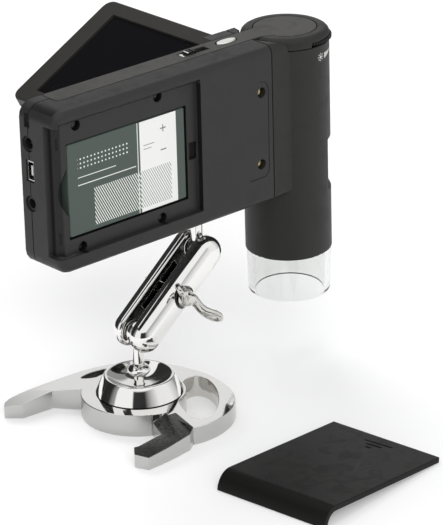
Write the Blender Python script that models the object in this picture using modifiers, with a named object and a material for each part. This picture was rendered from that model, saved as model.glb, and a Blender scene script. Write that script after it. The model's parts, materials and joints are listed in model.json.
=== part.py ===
# Handheld digital microscope on a two-ball stand, with its battery cover lifted off.
# Metres, +Z up. The origin is the centre of the stand base's underside.
# +X runs along the handset towards the optical barrel, and -Y is the battery side.
import bmesh
import bpy
from math import acos, atan2, cos, pi, radians, sin
from mathutils import Matrix, Vector

# Driving dimensions

# Clearances and cuts
gap = 0.0003
run_gap = 0.0004
overrun = 0.0020
weld = 0.000001

# Sides of round pieces, from the widest to the smallest
wide_sides = 48
middle_sides = 24
small_sides = 16
tiny_sides = 10

# Stand base
base_reach = 0.0470
base_height = 0.0083
prong_tip_height = 0.0048
disc_radius = 0.0213
eyelet_half_length = 0.0170
eyelet_half_width = 0.0073
eyelet_angle = radians(51)
eyelet_centre_shares = (0.255, -0.389)
cord_slot_half_length = 0.0068
cord_slot_half_width = 0.0025
cord_slot_angle = radians(-12)
cord_slot_centre_shares = (-0.030, 0.466)
step_angle = radians(164.7)
step_run = 0.0048
step_drop = 0.0028
step_half_length = 0.0085
step_centre_shares = (-0.155, -0.580)
# Plan of the crescent with its two prongs, clockwise, as shares of base_reach.
# The third value marks a corner, and the other points are run through smoothly.
base_outline_shares = (
    (-0.843, 0.655, True), (-0.723, 0.711, False), (-0.564, 0.709, False),
    (-0.277, 0.660, False), (0.064, 0.587, False), (0.298, 0.457, False),
    (0.479, 0.223, False), (0.574, -0.043, False), (0.587, -0.255, False),
    (0.521, -0.500, False), (0.372, -0.660, False), (0.181, -0.743, False),
    (0.000, -0.757, False), (-0.102, -0.732, True), (-0.181, -0.785, True),
    (-0.426, -0.815, False), (-0.617, -0.821, True), (-0.664, -0.713, True),
    (-0.602, -0.636, True), (-0.311, -0.600, True), (-0.170, -0.300, True),
    (-0.220, 0.240, True), (-0.349, 0.383, True), (-0.447, 0.511, True),
    (-0.728, 0.532, True),
)

# Cone on the base
cone_foot_radius = 0.0158
cone_rim_radius = 0.0127
cone_rim_height = 0.0150
cone_rim_width = 0.0006
bowl_depth = 0.0042

# Ball studs
ball_radius = 0.0044
lower_ball_height = 0.0313
stud_neck_radius = 0.0022
stud_foot_radius = 0.0018
stud_flange_radius = 0.0044
stud_flange_height = 0.0027
bead_height = 0.0165
bead_half_width = 0.0042
bead_half_height = 0.0024
head_stud_length = 0.01354
thread_radius = 0.0026

# Arm
ball_span = 0.0376
arm_angle = radians(39)
plate_half_width = 0.00625
plate_end = 0.0062
plate_inner = 0.0026
plate_outer = 0.0094
plate_round = 0.0032
channel_end_space = 0.0085
channel_low = 0.0007
channel_high = 0.0034
channel_depth = 0.0026
screw_radius = 0.0019
nut_radius = 0.0040
nut_thickness = 0.0030
washer_radius = 0.0040
washer_thickness = 0.0010
washer_recess = 0.0016
hub_radius = 0.0034
hub_length = 0.0040
wing_reach = 0.0152
wing_half_thickness = 0.0011
wing_hole_radius = 0.0016
wing_angle = radians(39)
# Outline of one wing, as shares of wing_reach: outwards, and away from the plate.
wing_outline_shares = (
    (0.05, 0.02), (0.42, 0.11), (0.75, 0.28), (0.97, 0.44), (1.00, 0.60),
    (0.84, 0.71), (0.56, 0.54), (0.30, 0.34), (0.05, 0.24),
)
wing_hole_shares = (0.81, 0.50)

# Handset case
case_wall = 0.0022
case_after_seat = 0.0338
case_above_seat = 0.0054
case_corner = 0.0050
case_rim = 0.0030
bush_from_right = 0.0278
back_depth = 0.01146
front_depth = 0.0081
seam_depth = 0.0032
tray_wall = 0.00096
inner_space_right = 0.0106
side_hollow_space = 0.0010
block_length = 0.0107
block_depth = 0.0052
bush_length = 0.0083
bush_floor = 0.0011
bush_wall = 0.0022
bush_boss_wall = 0.0037
bush_boss_top = 0.0012

# Battery cover seat and battery bay, measured from the case's left end and underside
battery_length = 0.0530
battery_height = 0.0340
battery_thickness = 0.0057
battery_round = 0.0008
bay_clearance = 0.0005
seat_low = 0.0060
seat_below_bay = 0.0054
seat_above_bay = 0.0074
seat_after_bay = 0.0050
seat_depth = 0.0024
seat_side_width = 0.0021
seat_side_depth = 0.0064
bay_left = 0.0066
notch_radius = 0.0129
notch_reach = 0.0035
notch_depth = 0.0034
latch_width = 0.0034
latch_height = 0.0063
latch_inset = 0.0007
latch_depth = 0.0014
tab_slot_width = 0.0012
tab_slot_height = 0.0040
tab_slot_inset = 0.0024
tab_slot_from_seat = (0.0045, 0.0086)
contact_size = 0.0020
contact_depth = 0.0030
contact_strip = 0.0010
contact_pitch = 0.0064
# Screws round the bay, from its left and right ends, and above and below it.
bay_screws_from_left = (0.0046, 0.0054)
bay_screws_from_right = (0.0127, 0.0123)
bay_screws_above = (0.0059, 0.0066)
bay_screws_below = (0.0039, 0.0038)
# Screws beside the barrel, from the case's right end and its top or underside.
side_screws_from_right = (0.0051, 0.0057)
side_screw_from_top = 0.0162
side_screw_rise = 0.0159
screw_hole_radius = 0.0019
screw_head_length = 0.0012
screw_shank_radius = 0.0009
screw_sink = 0.0022
boss_radius = 0.0030

# Ports in the left end: depth towards the front, rise above the underside
port_length = 0.0085
port_half_height = 0.0034
port_inset = 0.0006
dc_place = (0.0036, 0.0452)
av_place = (0.0033, 0.0233)
dc_hole_radius = 0.0021
av_hole_radius = 0.0018
jack_collar_radius = 0.0026
jack_pin_radius = 0.0006
usb_place = (0.00305, 0.03535)
usb_half_height = 0.0036
usb_half_depth = 0.0018
usb_shell = 0.0004
usb_tongue = 0.0005
strap_slot_place = (0.0037, 0.0537)
strap_slot_half = (0.0014, 0.0025)
strap_slot_depth = 0.0015

# Circuit board
board_thickness = 0.0016
board_low_space = 0.0004
board_high_space = 0.0005
board_left = 0.0043
board_right_space = 0.0028

# Controls on the top
cover_thickness = 0.0010
inlay_start = 0.0103
inlay_back = -0.0008
inlay_round = 0.0020
switch_slot_from_right = 0.0169
switch_slot_front = 0.0060
switch_slot_back = 0.0024
switch_travel = 0.0050
switch_spare = 0.0008
switch_knob_length = 0.0058
switch_knob_rise = 0.0007
switch_body_height = 0.0030
snap_from_right = 0.0076
snap_depth = 0.0042
snap_half_length = 0.0045
snap_half_width = 0.0019
snap_rise = 0.0003
snap_travel = 0.0008
snap_well_depth = 0.0062
snap_stem = 0.0011
snap_switch_height = 0.0022
menu_pitches = (0.0065, 0.0060)
menu_low_space = 0.0013
menu_high_space = 0.0004
menu_button_radius = 0.0020
menu_button_length = 0.0040
menu_button_rise = 0.0007
menu_travel = 0.0006

# Optical barrel
barrel_radius = 0.01602
bracket_reach = 0.00228
barrel_depth = 0.00139
barrel_bottom_below_case = 0.0257
barrel_wall = 0.00112
bracket_front = 0.0132
crown_lip = 0.0001
crown_height = 0.0041
crown_flat_width = 0.0020
crown_wall = 0.0012
ledge_reach = 0.0015
ledge_height = 0.0020
top_cap_radius = 0.0115
cap_flare_angle = radians(32)
# Points where the top inlay opens out to the round cap, as shares of top_cap_radius:
# back from the barrel's axis, and out from the inlay's edge.
cap_flare_shares = ((1.05, 0.05), (0.85, 0.28))
cap_tangent_share = 0.25
# Rounding of the crown's edge, as shares of its overhang: outwards, and down.
crown_slope_shares = ((0.38, 0.06), (0.66, 0.22), (0.88, 0.46), (1.00, 0.76))
window_low_above_case = -0.0004
window_height = 0.0160
window_flare = 0.0019
window_start = radians(-63)
window_end = radians(100)
focus_ring_wall = 0.0015
nose_inset = 0.00042
nose_taper = 0.00055
nose_wall = 0.0021
nose_length = 0.0170
nose_spigot = 0.0042
nose_step_share = 0.3
nose_edge_share = 0.2
lens_tube_radius = 0.0060
lens_tube_wall = 0.0010
lens_tube_above = 0.0012
lens_run = 0.0005
lens_flange_height = 0.0030
lens_flange_rise = 0.0030
lens_thickness = 0.0026
# Heights of the lens's domed top at half its radius and at its edge.
lens_dome_shares = (0.9, 0.6)
led_board_above_nose = 0.0015
led_board_run = 0.0007
led_count = 8
led_circle = 0.0104
led_radius = 0.0013
led_height = 0.0014
led_tip_share = 0.7
sensor_half = 0.0035
sensor_height = 0.0012
wheel_radius = 0.0130
wheel_peek = 0.00075
wheel_azimuth = radians(-41)
wheel_thickness = 0.0012
wheel_slot_half_angle = radians(55)
wheel_pin_radius = 0.0015

# Screen and its hinge
hinge_from_case_end = 0.0048
screen_rise = 0.0309
screen_tilt = radians(27.8)
knuckle_half_height = 0.0110
knuckle_radius = 0.0020
neck_half_width = 0.0030
neck_half_height = 0.0080
hinge_flange_radius = 0.0045
hinge_flange_thickness = 0.0015
hinge_pin_radius = 0.0009
hinge_pin_grip = 0.0035
hinge_slot_wall = 0.0006
screen_near = 0.0070
screen_length = 0.0828
screen_width = 0.0565
screen_thickness = 0.0054
screen_corner = 0.0040
screen_edge = 0.0007
screen_back_thickness = 0.0018
bezel_thickness = 0.0018
window_side = 0.00635
window_near = 0.0081
window_far = 0.0087
lcd_side = 0.0046
lcd_space = 0.0006
lcd_far = 0.0048
lcd_thickness = 0.0012
glass_thickness = 0.0007
pivot_shaft_radius = 0.0014
pivot_shaft_length = 0.0046
screen_screw_inset = 0.0031
screen_screw_radius = 0.0010

# Battery cover lying beside the stand
cover_clearance = 0.0003
cover_plate = 0.0021
cover_drop = 0.0068
cover_curl = 0.0062
cover_turn = radians(7.5)
cover_place = (0.0437, -0.0817)

# Sizes and places worked out from the others
thread_length = bush_length - bush_floor
bush_radius = thread_radius + bush_wall
bush_boss_half = bush_radius + bush_boss_wall
bush_boss_height = bush_length + bush_boss_top
bay_length = battery_length + 2 * bay_clearance
bay_height = battery_height + 2 * bay_clearance
bay_low = seat_low + seat_below_bay
bay_high = bay_low + bay_height
bay_right = bay_left + bay_length
seat_high = bay_high + seat_above_bay
seat_length = bay_right + seat_after_bay
case_length = seat_length + case_after_seat
case_height = seat_high + case_above_seat
arm_x = ball_span * cos(arm_angle)
arm_z = lower_ball_height + ball_span * sin(arm_angle)
case_left = arm_x + bush_from_right - case_length
case_right = case_left + case_length
case_low = arm_z + head_stud_length
case_high = case_low + case_height
case_back = -back_depth
seat_floor = case_back + seat_depth
bay_floor = seat_floor + battery_thickness + 2 * gap
tray_back = bay_floor + tray_wall
bay_middle = bay_low + bay_height / 2
contact_rises = (bay_middle - contact_pitch, bay_middle, bay_middle + contact_pitch)
tab_slot_rises = (seat_low + tab_slot_from_seat[0], seat_high - tab_slot_from_seat[1])
bay_screw_places = (
    (bay_left + bay_screws_from_left[0], bay_high + bay_screws_above[0]),
    (bay_left + bay_screws_from_left[1], bay_low - bay_screws_below[0]),
    (bay_right - bay_screws_from_right[0], bay_high + bay_screws_above[1]),
    (bay_right - bay_screws_from_right[1], bay_low - bay_screws_below[1]),
)
side_screw_places = (
    (case_length - side_screws_from_right[0], case_height - side_screw_from_top),
    (case_length - side_screws_from_right[1], side_screw_rise),
)
screw_head_radius = screw_hole_radius - run_gap
port_front = front_depth - case_wall - gap
port_back = tray_back + board_thickness + 2 * gap
board_low = bay_screw_places[3][1] + boss_radius + board_low_space
board_high = bay_screw_places[0][1] - boss_radius - board_high_space
board_right = case_length - inner_space_right - board_right_space
switch_slot_end = case_length - switch_slot_from_right
switch_slot_start = (switch_slot_end - switch_knob_length - switch_travel
                     - 2 * run_gap - switch_spare)
snap_place = (case_length - snap_from_right, snap_depth)
barrel_bore = barrel_radius - barrel_wall
crown_radius = barrel_radius + crown_lip
crown_flat = top_cap_radius + crown_flat_width
ledge_radius = barrel_bore - ledge_reach
focus_ring_radius = barrel_bore - gap
focus_ring_bore = focus_ring_radius - focus_ring_wall
nose_radius = barrel_radius - nose_inset
nose_tip_radius = nose_radius - nose_taper
lens_flange_radius = focus_ring_bore - lens_run
led_board_bore = lens_tube_radius + led_board_run
wheel_centre_distance = crown_radius + wheel_peek - wheel_radius
barrel_x = case_right + barrel_radius + bracket_reach
barrel_y = barrel_depth
barrel_low = case_low - barrel_bottom_below_case
crown_low = case_high - crown_height
wheel_low = crown_low + run_gap - gap
crown_hollow_high = wheel_low + wheel_thickness + run_gap
block_left = case_right - block_length
block_front = front_depth + block_depth
hinge_x = case_right - hinge_from_case_end
hinge_y = block_front - knuckle_radius
hinge_z = case_low + screen_rise
pin_reach = knuckle_half_height + run_gap + hinge_pin_grip + gap
menu_low = screen_rise - pin_reach - menu_button_radius - run_gap - menu_low_space
menu_high = screen_rise + pin_reach + menu_button_radius + run_gap + menu_high_space
menu_button_rises = (menu_low - menu_pitches[0], menu_low,
                     menu_high, menu_high + menu_pitches[1])
lcd_near = pivot_shaft_length + lcd_space
cover_width = seat_high - seat_low - 2 * cover_clearance
cover_run = seat_length - seat_side_width

looks = {
    "chrome": ((0.72, 0.72, 0.73), 0.12, 1.0),
    "brass": ((0.60, 0.45, 0.22), 0.30, 1.0),
    "black": ((0.045, 0.045, 0.043), 0.55, 0.0),
    "grey": ((0.075, 0.072, 0.066), 0.50, 0.0),
    "cover": ((0.024, 0.023, 0.021), 0.50, 0.0),
    "gloss": ((0.008, 0.008, 0.009), 0.10, 0.0),
    "clear": ((0.80, 0.83, 0.80), 0.08, 0.0),
    "glass": ((0.65, 0.75, 0.80), 0.03, 0.0),
    "silver": ((0.62, 0.62, 0.60), 0.35, 1.0),
    "board": ((0.02, 0.10, 0.05), 0.45, 0.0),
    "white": ((0.85, 0.85, 0.80), 0.30, 0.0),
    "battery": ((0.10, 0.13, 0.11), 0.40, 0.0),
}

parts = None
cutters = None
carrier_world = {}


def fresh_scene():
    for item in list(bpy.data.objects):
        bpy.data.objects.remove(item, do_unlink=True)
    made = []
    for name in ("digital_microscope", "cutters"):
        group = bpy.data.collections.new(name)
        bpy.context.scene.collection.children.link(group)
        made.append(group)
    return made


def carrier(name, at, on=None, turn=0.0):
    # An empty on a joint's axis, placed in world coordinates and turned about Y.
    empty = bpy.data.objects.new(name, None)
    parts.objects.link(empty)
    empty.empty_display_size = ball_radius
    empty.location = at
    empty.rotation_euler = (0, turn, 0)
    if on:
        empty.parent = on
        empty.matrix_parent_inverse = carrier_world[on.name].inverted()
    carrier_world[name] = Matrix.Translation(at) @ Matrix.Rotation(turn, 4, "Y")
    return empty


def part(item, look, on=None, local=False):
    # A local piece is drawn in its carrier's own frame, any other in world coordinates.
    parts.objects.link(item)
    colour, roughness, metallic = looks[look]
    surface = bpy.data.materials.new(item.name)
    surface.use_nodes = True
    shader = surface.node_tree.nodes["Principled BSDF"]
    shader.inputs["Base Color"].default_value = (*colour, 1.0)
    shader.inputs["Roughness"].default_value = roughness
    shader.inputs["Metallic"].default_value = metallic
    item.data.materials.clear()
    item.data.materials.append(surface)
    if on:
        item.parent = on
        if not local:
            item.matrix_parent_inverse = carrier_world[on.name].inverted()
    return item


def follow(tool, target):
    tool.parent = target.parent
    tool.matrix_parent_inverse = target.matrix_parent_inverse
    for change in tool.modifiers:
        if change.type == "BOOLEAN":
            follow(change.object, target)


def combine(target, tool, operation):
    if tool.name not in cutters.objects:
        cutters.objects.link(tool)
    tool.hide_render = True
    tool.display_type = "WIRE"
    follow(tool, target)
    change = target.modifiers.new(operation.lower(), "BOOLEAN")
    change.operation = operation
    change.solver = "EXACT"
    change.object = tool


def cut(target, *tools):
    for tool in tools:
        combine(target, tool, "DIFFERENCE")


def join(target, *tools):
    for tool in tools:
        combine(target, tool, "UNION")


def finished(name, shape):
    mesh = bpy.data.meshes.new(name)
    shape.to_mesh(mesh)
    shape.free()
    mesh.shade_smooth()
    mesh.set_sharp_from_angle(angle=radians(35))
    return bpy.data.objects.new(name, mesh)


def box_shape(low, high):
    shape = bmesh.new()
    bmesh.ops.create_cube(shape, size=1)
    size = [b - a for a, b in zip(low, high)]
    middle = [(a + b) / 2 for a, b in zip(low, high)]
    bmesh.ops.scale(shape, vec=size, verts=shape.verts)
    bmesh.ops.translate(shape, vec=middle, verts=shape.verts)
    return shape


def block(name, low, high):
    return finished(name, box_shape(low, high))


def rounded_block(name, low, high, corner, rim, rim_at):
    # A box with its left corners rounded as seen along Y, and its rim rounded at one
    # depth. Its right side stays square, since the next piece carries it on.
    shape = box_shape(low, high)
    upright = [e for e in shape.edges
               if abs(e.verts[0].co.y - e.verts[1].co.y) > abs(high[1] - low[1]) / 2
               and e.verts[0].co.x < (low[0] + high[0]) / 2]
    bmesh.ops.bevel(shape, geom=upright, offset=corner, segments=4, profile=0.5,
                    affect="EDGES")
    near = abs(high[1] - low[1]) / 100
    around = [e for e in shape.edges if all(abs(v.co.y - rim_at) < near for v in e.verts)
              and any(abs(v.co.x - high[0]) > near for v in e.verts)]
    bmesh.ops.bevel(shape, geom=around, offset=rim, segments=3, profile=0.5,
                    affect="EDGES")
    return finished(name, shape)


def rod(name, radius, start, end, sides=small_sides, end_radius=None):
    start, end = Vector(start), Vector(end)
    shape = bmesh.new()
    bmesh.ops.create_cone(shape, cap_ends=True, segments=sides, radius1=radius,
                          radius2=radius if end_radius is None else end_radius,
                          depth=(end - start).length)
    item = finished(name, shape)
    item.rotation_euler = (end - start).to_track_quat("Z", "Y").to_euler()
    item.location = (start + end) / 2
    return item


def ball(name, radius, at, sides=small_sides):
    shape = bmesh.new()
    bmesh.ops.create_uvsphere(shape, u_segments=sides, v_segments=sides // 2, radius=radius)
    item = finished(name, shape)
    item.location = at
    return item


def turned(name, profile, at=(0, 0, 0), steps=wide_sides, closed=False):
    # The profile runs down the outer side, from top to bottom.
    mesh = bpy.data.meshes.new(name)
    last = len(profile) if closed else len(profile) - 1
    edges = [(i, (i + 1) % len(profile)) for i in range(last)]
    mesh.from_pydata([(r, 0, z) for r, z in profile], edges, [])
    item = bpy.data.objects.new(name, mesh)
    item.location = at
    spin = item.modifiers.new("spin", "SCREW")
    spin.axis = "Z"
    spin.angle = 2 * pi
    spin.steps = steps
    spin.render_steps = steps
    spin.use_merge_vertices = True
    spin.merge_threshold = weld
    spin.use_smooth_shade = True
    return item


plane_turns = {
    "XY": Matrix.Identity(3),
    "XZ": Matrix.Rotation(pi / 2, 3, "X"),
    "YZ": Matrix(((0, 0, 1), (1, 0, 0), (0, 1, 0))),
}
plane_pushes = {"XY": (0, 0, 1), "XZ": (0, 1, 0), "YZ": (1, 0, 0)}


def slab_shape(outline, low, high, plane):
    curve = bpy.data.curves.new("outline", "CURVE")
    curve.dimensions = "2D"
    curve.fill_mode = "BOTH"
    curve.extrude = (high - low) / 2
    spline = curve.splines.new("POLY")
    spline.points.add(len(outline) - 1)
    for point, (across, along) in zip(spline.points, outline):
        point.co = (across, along, 0, 1)
    spline.use_cyclic_u = True
    drawn = bpy.data.objects.new("outline", curve)
    cutters.objects.link(drawn)
    bpy.context.view_layer.update()
    seen = drawn.evaluated_get(bpy.context.evaluated_depsgraph_get())
    mesh = bpy.data.meshes.new_from_object(seen)
    shape = bmesh.new()
    shape.from_mesh(mesh)
    bpy.data.objects.remove(drawn, do_unlink=True)
    bpy.data.meshes.remove(mesh)
    bmesh.ops.remove_doubles(shape, verts=shape.verts, dist=weld)
    bmesh.ops.recalc_face_normals(shape, faces=shape.faces)
    bmesh.ops.rotate(shape, matrix=plane_turns[plane], verts=shape.verts)
    push = Vector(plane_pushes[plane]) * (low + high) / 2
    bmesh.ops.translate(shape, vec=push, verts=shape.verts)
    return shape


def slab(name, outline, low, high, plane="XY"):
    return finished(name, slab_shape(outline, low, high, plane))


def soft_slab(name, outline, low, high, plane, rim_at, rim, segments=3):
    # A slab whose edge is rounded on the face at one depth.
    shape = slab_shape(outline, low, high, plane)
    axis = plane_pushes[plane].index(1)
    near = abs(high - low) / 100
    rim_edges = [e for e in shape.edges
                 if all(abs(v.co[axis] - rim_at) < near for v in e.verts)
                 and any(abs(f.normal[axis]) < 0.5 for f in e.link_faces)]
    bmesh.ops.bevel(shape, geom=rim_edges, offset=rim, segments=segments, profile=0.5,
                    affect="EDGES")
    return finished(name, shape)


def arc(across, along, radius, start, end, steps):
    turns = [start + (end - start) * i / steps for i in range(steps + 1)]
    return [(across + radius * cos(t), along + radius * sin(t)) for t in turns]


def round_outline(x0, y0, x1, y1, radius, steps=4):
    quarter = pi / 2
    return (arc(x1 - radius, y1 - radius, radius, 0, quarter, steps)
            + arc(x0 + radius, y1 - radius, radius, quarter, 2 * quarter, steps)
            + arc(x0 + radius, y0 + radius, radius, 2 * quarter, 3 * quarter, steps)
            + arc(x1 - radius, y0 + radius, radius, 3 * quarter, 4 * quarter, steps))


def ellipse(centre, half_length, half_width, angle, steps=32):
    points = []
    for i in range(steps):
        t = 2 * pi * i / steps
        u, v = half_length * cos(t), half_width * sin(t)
        points.append((centre[0] + u * cos(angle) - v * sin(angle),
                       centre[1] + u * sin(angle) + v * cos(angle)))
    return points


def smooth(points, steps=4):
    # Runs a soft curve through the points, and keeps the ones marked as corners.
    count = len(points)
    line = []
    for i in range(count):
        p0, p1, p2, p3 = (Vector(points[(i + k - 1) % count][:2]) for k in range(4))
        start_bend = Vector((0, 0)) if points[i][2] else (p2 - p0) / 2
        end_bend = Vector((0, 0)) if points[(i + 1) % count][2] else (p3 - p1) / 2
        straight = points[i][2] and points[(i + 1) % count][2]
        for k in range(1 if straight else steps):
            t = k / steps
            h = (2 * t ** 3 - 3 * t ** 2 + 1, t ** 3 - 2 * t ** 2 + t,
                 -2 * t ** 3 + 3 * t ** 2, t ** 3 - t ** 2)
            line.append(tuple(h[0] * p1 + h[1] * start_bend + h[2] * p2 + h[3] * end_bend))
    return line


def grown(outline, by):
    # The same outline, counterclockwise, moved outwards by a distance.
    moved = []
    count = len(outline)
    for i in range(count):
        before, here, after = (Vector(outline[(i + k - 1) % count]) for k in range(3))
        first = (here - before).normalized()
        second = (after - here).normalized()
        normal = Vector((first.y + second.y, -first.x - second.x)).normalized()
        lean = max(normal.dot(Vector((first.y, -first.x))), 0.5)
        moved.append(tuple(here + normal * by / lean))
    return moved


def sphere_profile(radius, at, start, end, steps):
    # Points of a round profile between two latitudes.
    turns = [start + (end - start) * i / steps for i in range(steps + 1)]
    return [(max(radius * cos(t), 0), at + radius * sin(t)) for t in turns]


def make_base():
    outline = [(x * base_reach, y * base_reach, corner)
               for x, y, corner in base_outline_shares]
    plate = part(slab("base_plate", smooth(outline, 3)[::-1], 0, base_height), "chrome")
    top = base_height + gap
    join(plate, rod("base_disc", disc_radius, (0, 0, 0), (0, 0, base_height), wide_sides))
    dome = [(0, top), (disc_radius, top), (base_reach + overrun, prong_tip_height),
            (base_reach + overrun, -overrun), (0, -overrun)]
    combine(plate, turned("base_dome", dome), "INTERSECT")

    guard = cone_foot_radius + overrun / 2
    eyelet_centre = [share * base_reach for share in eyelet_centre_shares]
    eyelet = slab("base_eyelet", ellipse(eyelet_centre, eyelet_half_length,
                                         eyelet_half_width, eyelet_angle),
                  -overrun, base_height + overrun)
    cut(eyelet, rod("eyelet_guard", guard, (0, 0, -2 * overrun),
                    (0, 0, base_height + 2 * overrun), wide_sides))
    slot_centre = [share * base_reach for share in cord_slot_centre_shares]
    slot = slab("base_cord_slot", ellipse(slot_centre, cord_slot_half_length,
                                          cord_slot_half_width, cord_slot_angle, 24),
                -overrun, base_height + overrun)
    cut(slot, rod("cord_slot_guard", disc_radius - overrun / 2, (0, 0, -2 * overrun),
                  (0, 0, base_height + 2 * overrun), wide_sides))

    rise = base_height + overrun
    lip = overrun * step_run / step_drop
    step = slab("prong_step", [(-lip, rise), (step_run, base_height - step_drop),
                               (base_reach, prong_tip_height), (base_reach, 2 * rise),
                               (-lip, 2 * rise)],
                -step_half_length - overrun * 2, step_half_length, "XZ")
    step.rotation_euler = (0, 0, step_angle)
    step.location = (*[share * base_reach for share in step_centre_shares], 0)
    disc_guard = rod("step_guard", disc_radius + gap, (0, 0, 0), (0, 0, 3 * rise), wide_sides)
    cut(step, disc_guard)
    pocket = rod("stud_pocket", stud_flange_radius + gap,
                 (0, 0, base_height - stud_flange_height - gap),
                 (0, 0, base_height + overrun), middle_sides)
    cut(plate, eyelet, slot, step, pocket)


def make_cone():
    low = base_height + gap
    floor = cone_rim_height - bowl_depth
    bore = stud_foot_radius + gap
    inner_rim = cone_rim_radius - cone_rim_width
    bowl = []
    for i in range(5):
        share = i / 4
        bowl.append((bore + (inner_rim - bore) * share, floor + bowl_depth * share ** 2))
    profile = [(cone_rim_radius, cone_rim_height), (cone_foot_radius, low),
               (bore, low)] + bowl
    part(turned("base_cone", profile, closed=True), "chrome")


def make_lower_stud(on):
    neck = -acos(stud_neck_radius / ball_radius)
    profile = sphere_profile(ball_radius, lower_ball_height, pi / 2, neck, 8)
    top_latitude = acos(stud_neck_radius / bead_half_width)
    low_latitude = -acos(stud_foot_radius / bead_half_width)
    for i in range(7):
        t = top_latitude + (low_latitude - top_latitude) * i / 6
        profile.append((bead_half_width * cos(t), bead_height + bead_half_height * sin(t)))
    profile += [(stud_foot_radius, base_height), (stud_flange_radius, base_height),
                (stud_flange_radius, base_height - stud_flange_height),
                (0, base_height - stud_flange_height)]
    part(turned("lower_ball_stud", profile, steps=middle_sides), "chrome", on)


def plate_outline():
    right = ball_span + plate_end - plate_half_width
    left = plate_half_width - plate_end
    return (arc(right, 0, plate_half_width, -pi / 2, pi / 2, 8)
            + arc(left, 0, plate_half_width, pi / 2, 3 * pi / 2, 8))


def make_plate(name, side, on):
    # side is -1 for the near plate with the wing screw and +1 for the far plate.
    low, high = sorted((side * plate_inner, side * plate_outer))
    plate = part(soft_slab(name, plate_outline(), low, high, "XZ",
                           side * plate_outer, plate_round), "chrome", on, local=True)
    for which, x in (("lower", 0), ("upper", ball_span)):
        cut(plate, ball(name + "_socket_" + which, ball_radius + gap, (x, 0, 0)))
    end = side * (plate_inner + channel_depth)
    for which, across in (("low", -1), ("high", 1)):
        ys = sorted((0, end))
        zs = sorted((across * channel_low, across * channel_high))
        cut(plate, block(name + "_channel_" + which, (channel_end_space, ys[0], zs[0]),
                         (ball_span - channel_end_space, ys[1], zs[1])))
    middle = ball_span / 2
    cut(plate, rod(name + "_bore", screw_radius + gap, (middle, 0, 0),
                   (middle, side * (plate_outer + overrun), 0)))
    if side < 0:
        floor = plate_outer - washer_recess
        cut(plate, rod(name + "_recess", washer_radius + gap, (middle, -floor, 0),
                       (middle, -plate_outer - overrun, 0), middle_sides))
    else:
        floor = plate_outer - nut_thickness - 2 * gap
        cut(plate, rod(name + "_nut_pocket", nut_radius + 2 * gap, (middle, floor, 0),
                       (middle, plate_outer + overrun, 0), 6))


def make_clamp(on):
    middle = ball_span / 2
    floor = plate_outer - washer_recess
    washer = part(rod("clamp_washer", washer_radius, (middle, -floor - gap, 0),
                      (middle, -floor - gap - washer_thickness, 0), middle_sides),
                  "chrome", on, local=True)
    cut(washer, rod("washer_bore", screw_radius + gap, (middle, 0, 0),
                    (middle, -plate_outer - overrun, 0)))
    start = plate_outer - nut_thickness - gap
    nut = part(rod("clamp_nut", nut_radius, (middle, start, 0),
                   (middle, start + nut_thickness, 0), 6), "chrome", on, local=True)
    cut(nut, rod("nut_bore", screw_radius + gap, (middle, 0, 0),
                 (middle, plate_outer + overrun, 0)))


def make_wing_screw(on):
    seat = -plate_outer + washer_recess - washer_thickness - 2 * gap
    hub = part(rod("wing_screw", hub_radius, (0, seat, 0), (0, seat - hub_length, 0),
                   middle_sides), "chrome", on, local=True)
    join(hub, rod("wing_shank", screw_radius, (0, seat - hub_length / 2, 0),
                  (0, plate_outer - gap, 0)))
    for which, side in (("out", 1), ("in", -1)):
        outline = [(side * x * wing_reach, seat - y * wing_reach, False)
                   for x, y in wing_outline_shares]
        outline = smooth(outline, 2)
        if side > 0:
            outline = outline[::-1]
        join(hub, slab("wing_" + which, outline, -wing_half_thickness,
                       wing_half_thickness))
        x = side * wing_hole_shares[0] * wing_reach
        y = seat - wing_hole_shares[1] * wing_reach
        cut(hub, rod("wing_hole_" + which, wing_hole_radius,
                     (x, y, -wing_half_thickness - overrun),
                     (x, y, wing_half_thickness + overrun), 12))


def make_upper_stud(on):
    neck = acos(stud_neck_radius / ball_radius)
    top = case_low + gap + thread_length
    profile = [(0, top - arm_z), (thread_radius, top - arm_z),
               (thread_radius, head_stud_length),
               (stud_neck_radius, head_stud_length - 2 * gap)]
    profile += sphere_profile(ball_radius, 0, neck, -pi / 2, 8)
    part(turned("upper_ball_stud", profile, (arm_x, 0, arm_z), middle_sides), "chrome", on)


def screw(name, head_radius, head_length, shank_radius, length, at, turn, look, on,
          local=False):
    # A turned screw whose head faces local +Z.
    profile = [(0, 0), (head_radius, 0), (head_radius, -head_length),
               (shank_radius, -head_length), (shank_radius, -length), (0, -length)]
    item = part(turned(name, profile, at, tiny_sides), look, on, local)
    item.rotation_euler = (turn, 0, 0)


def case_screws(name, places, head_at, look, on):
    length = front_depth - case_wall - gap - head_at
    for i, (along, rise) in enumerate(places):
        screw(name + "_" + str(i + 1), screw_head_radius, screw_head_length,
              screw_shank_radius, length, (case_left + along, head_at, case_low + rise),
              pi / 2, look, on)


def cover_outline():
    # Top inlay and the round cap over the barrel, counterclockwise from above.
    start = case_left + inlay_start
    near = atan2(inlay_back - top_cap_radius * cap_tangent_share - barrel_y,
                 -top_cap_radius)
    far = acos((front_depth - barrel_y) / top_cap_radius)
    flare = [(case_right, inlay_back, True)]
    for across, out in cap_flare_shares:
        flare.append((barrel_x - top_cap_radius * across,
                      inlay_back - top_cap_radius * out, False))
    line = [(start + inlay_round, inlay_back)] + smooth(flare, 3)[:7]
    line += arc(barrel_x, barrel_y, top_cap_radius, near + cap_flare_angle,
                pi / 2 + far, 24)
    line += [(start + inlay_round, front_depth)]
    line += arc(start + inlay_round, front_depth - inlay_round, inlay_round, pi / 2,
                pi, 3)[1:]
    line += arc(start + inlay_round, inlay_back + inlay_round, inlay_round, pi,
                3 * pi / 2, 3)[:-1]
    return line


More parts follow.
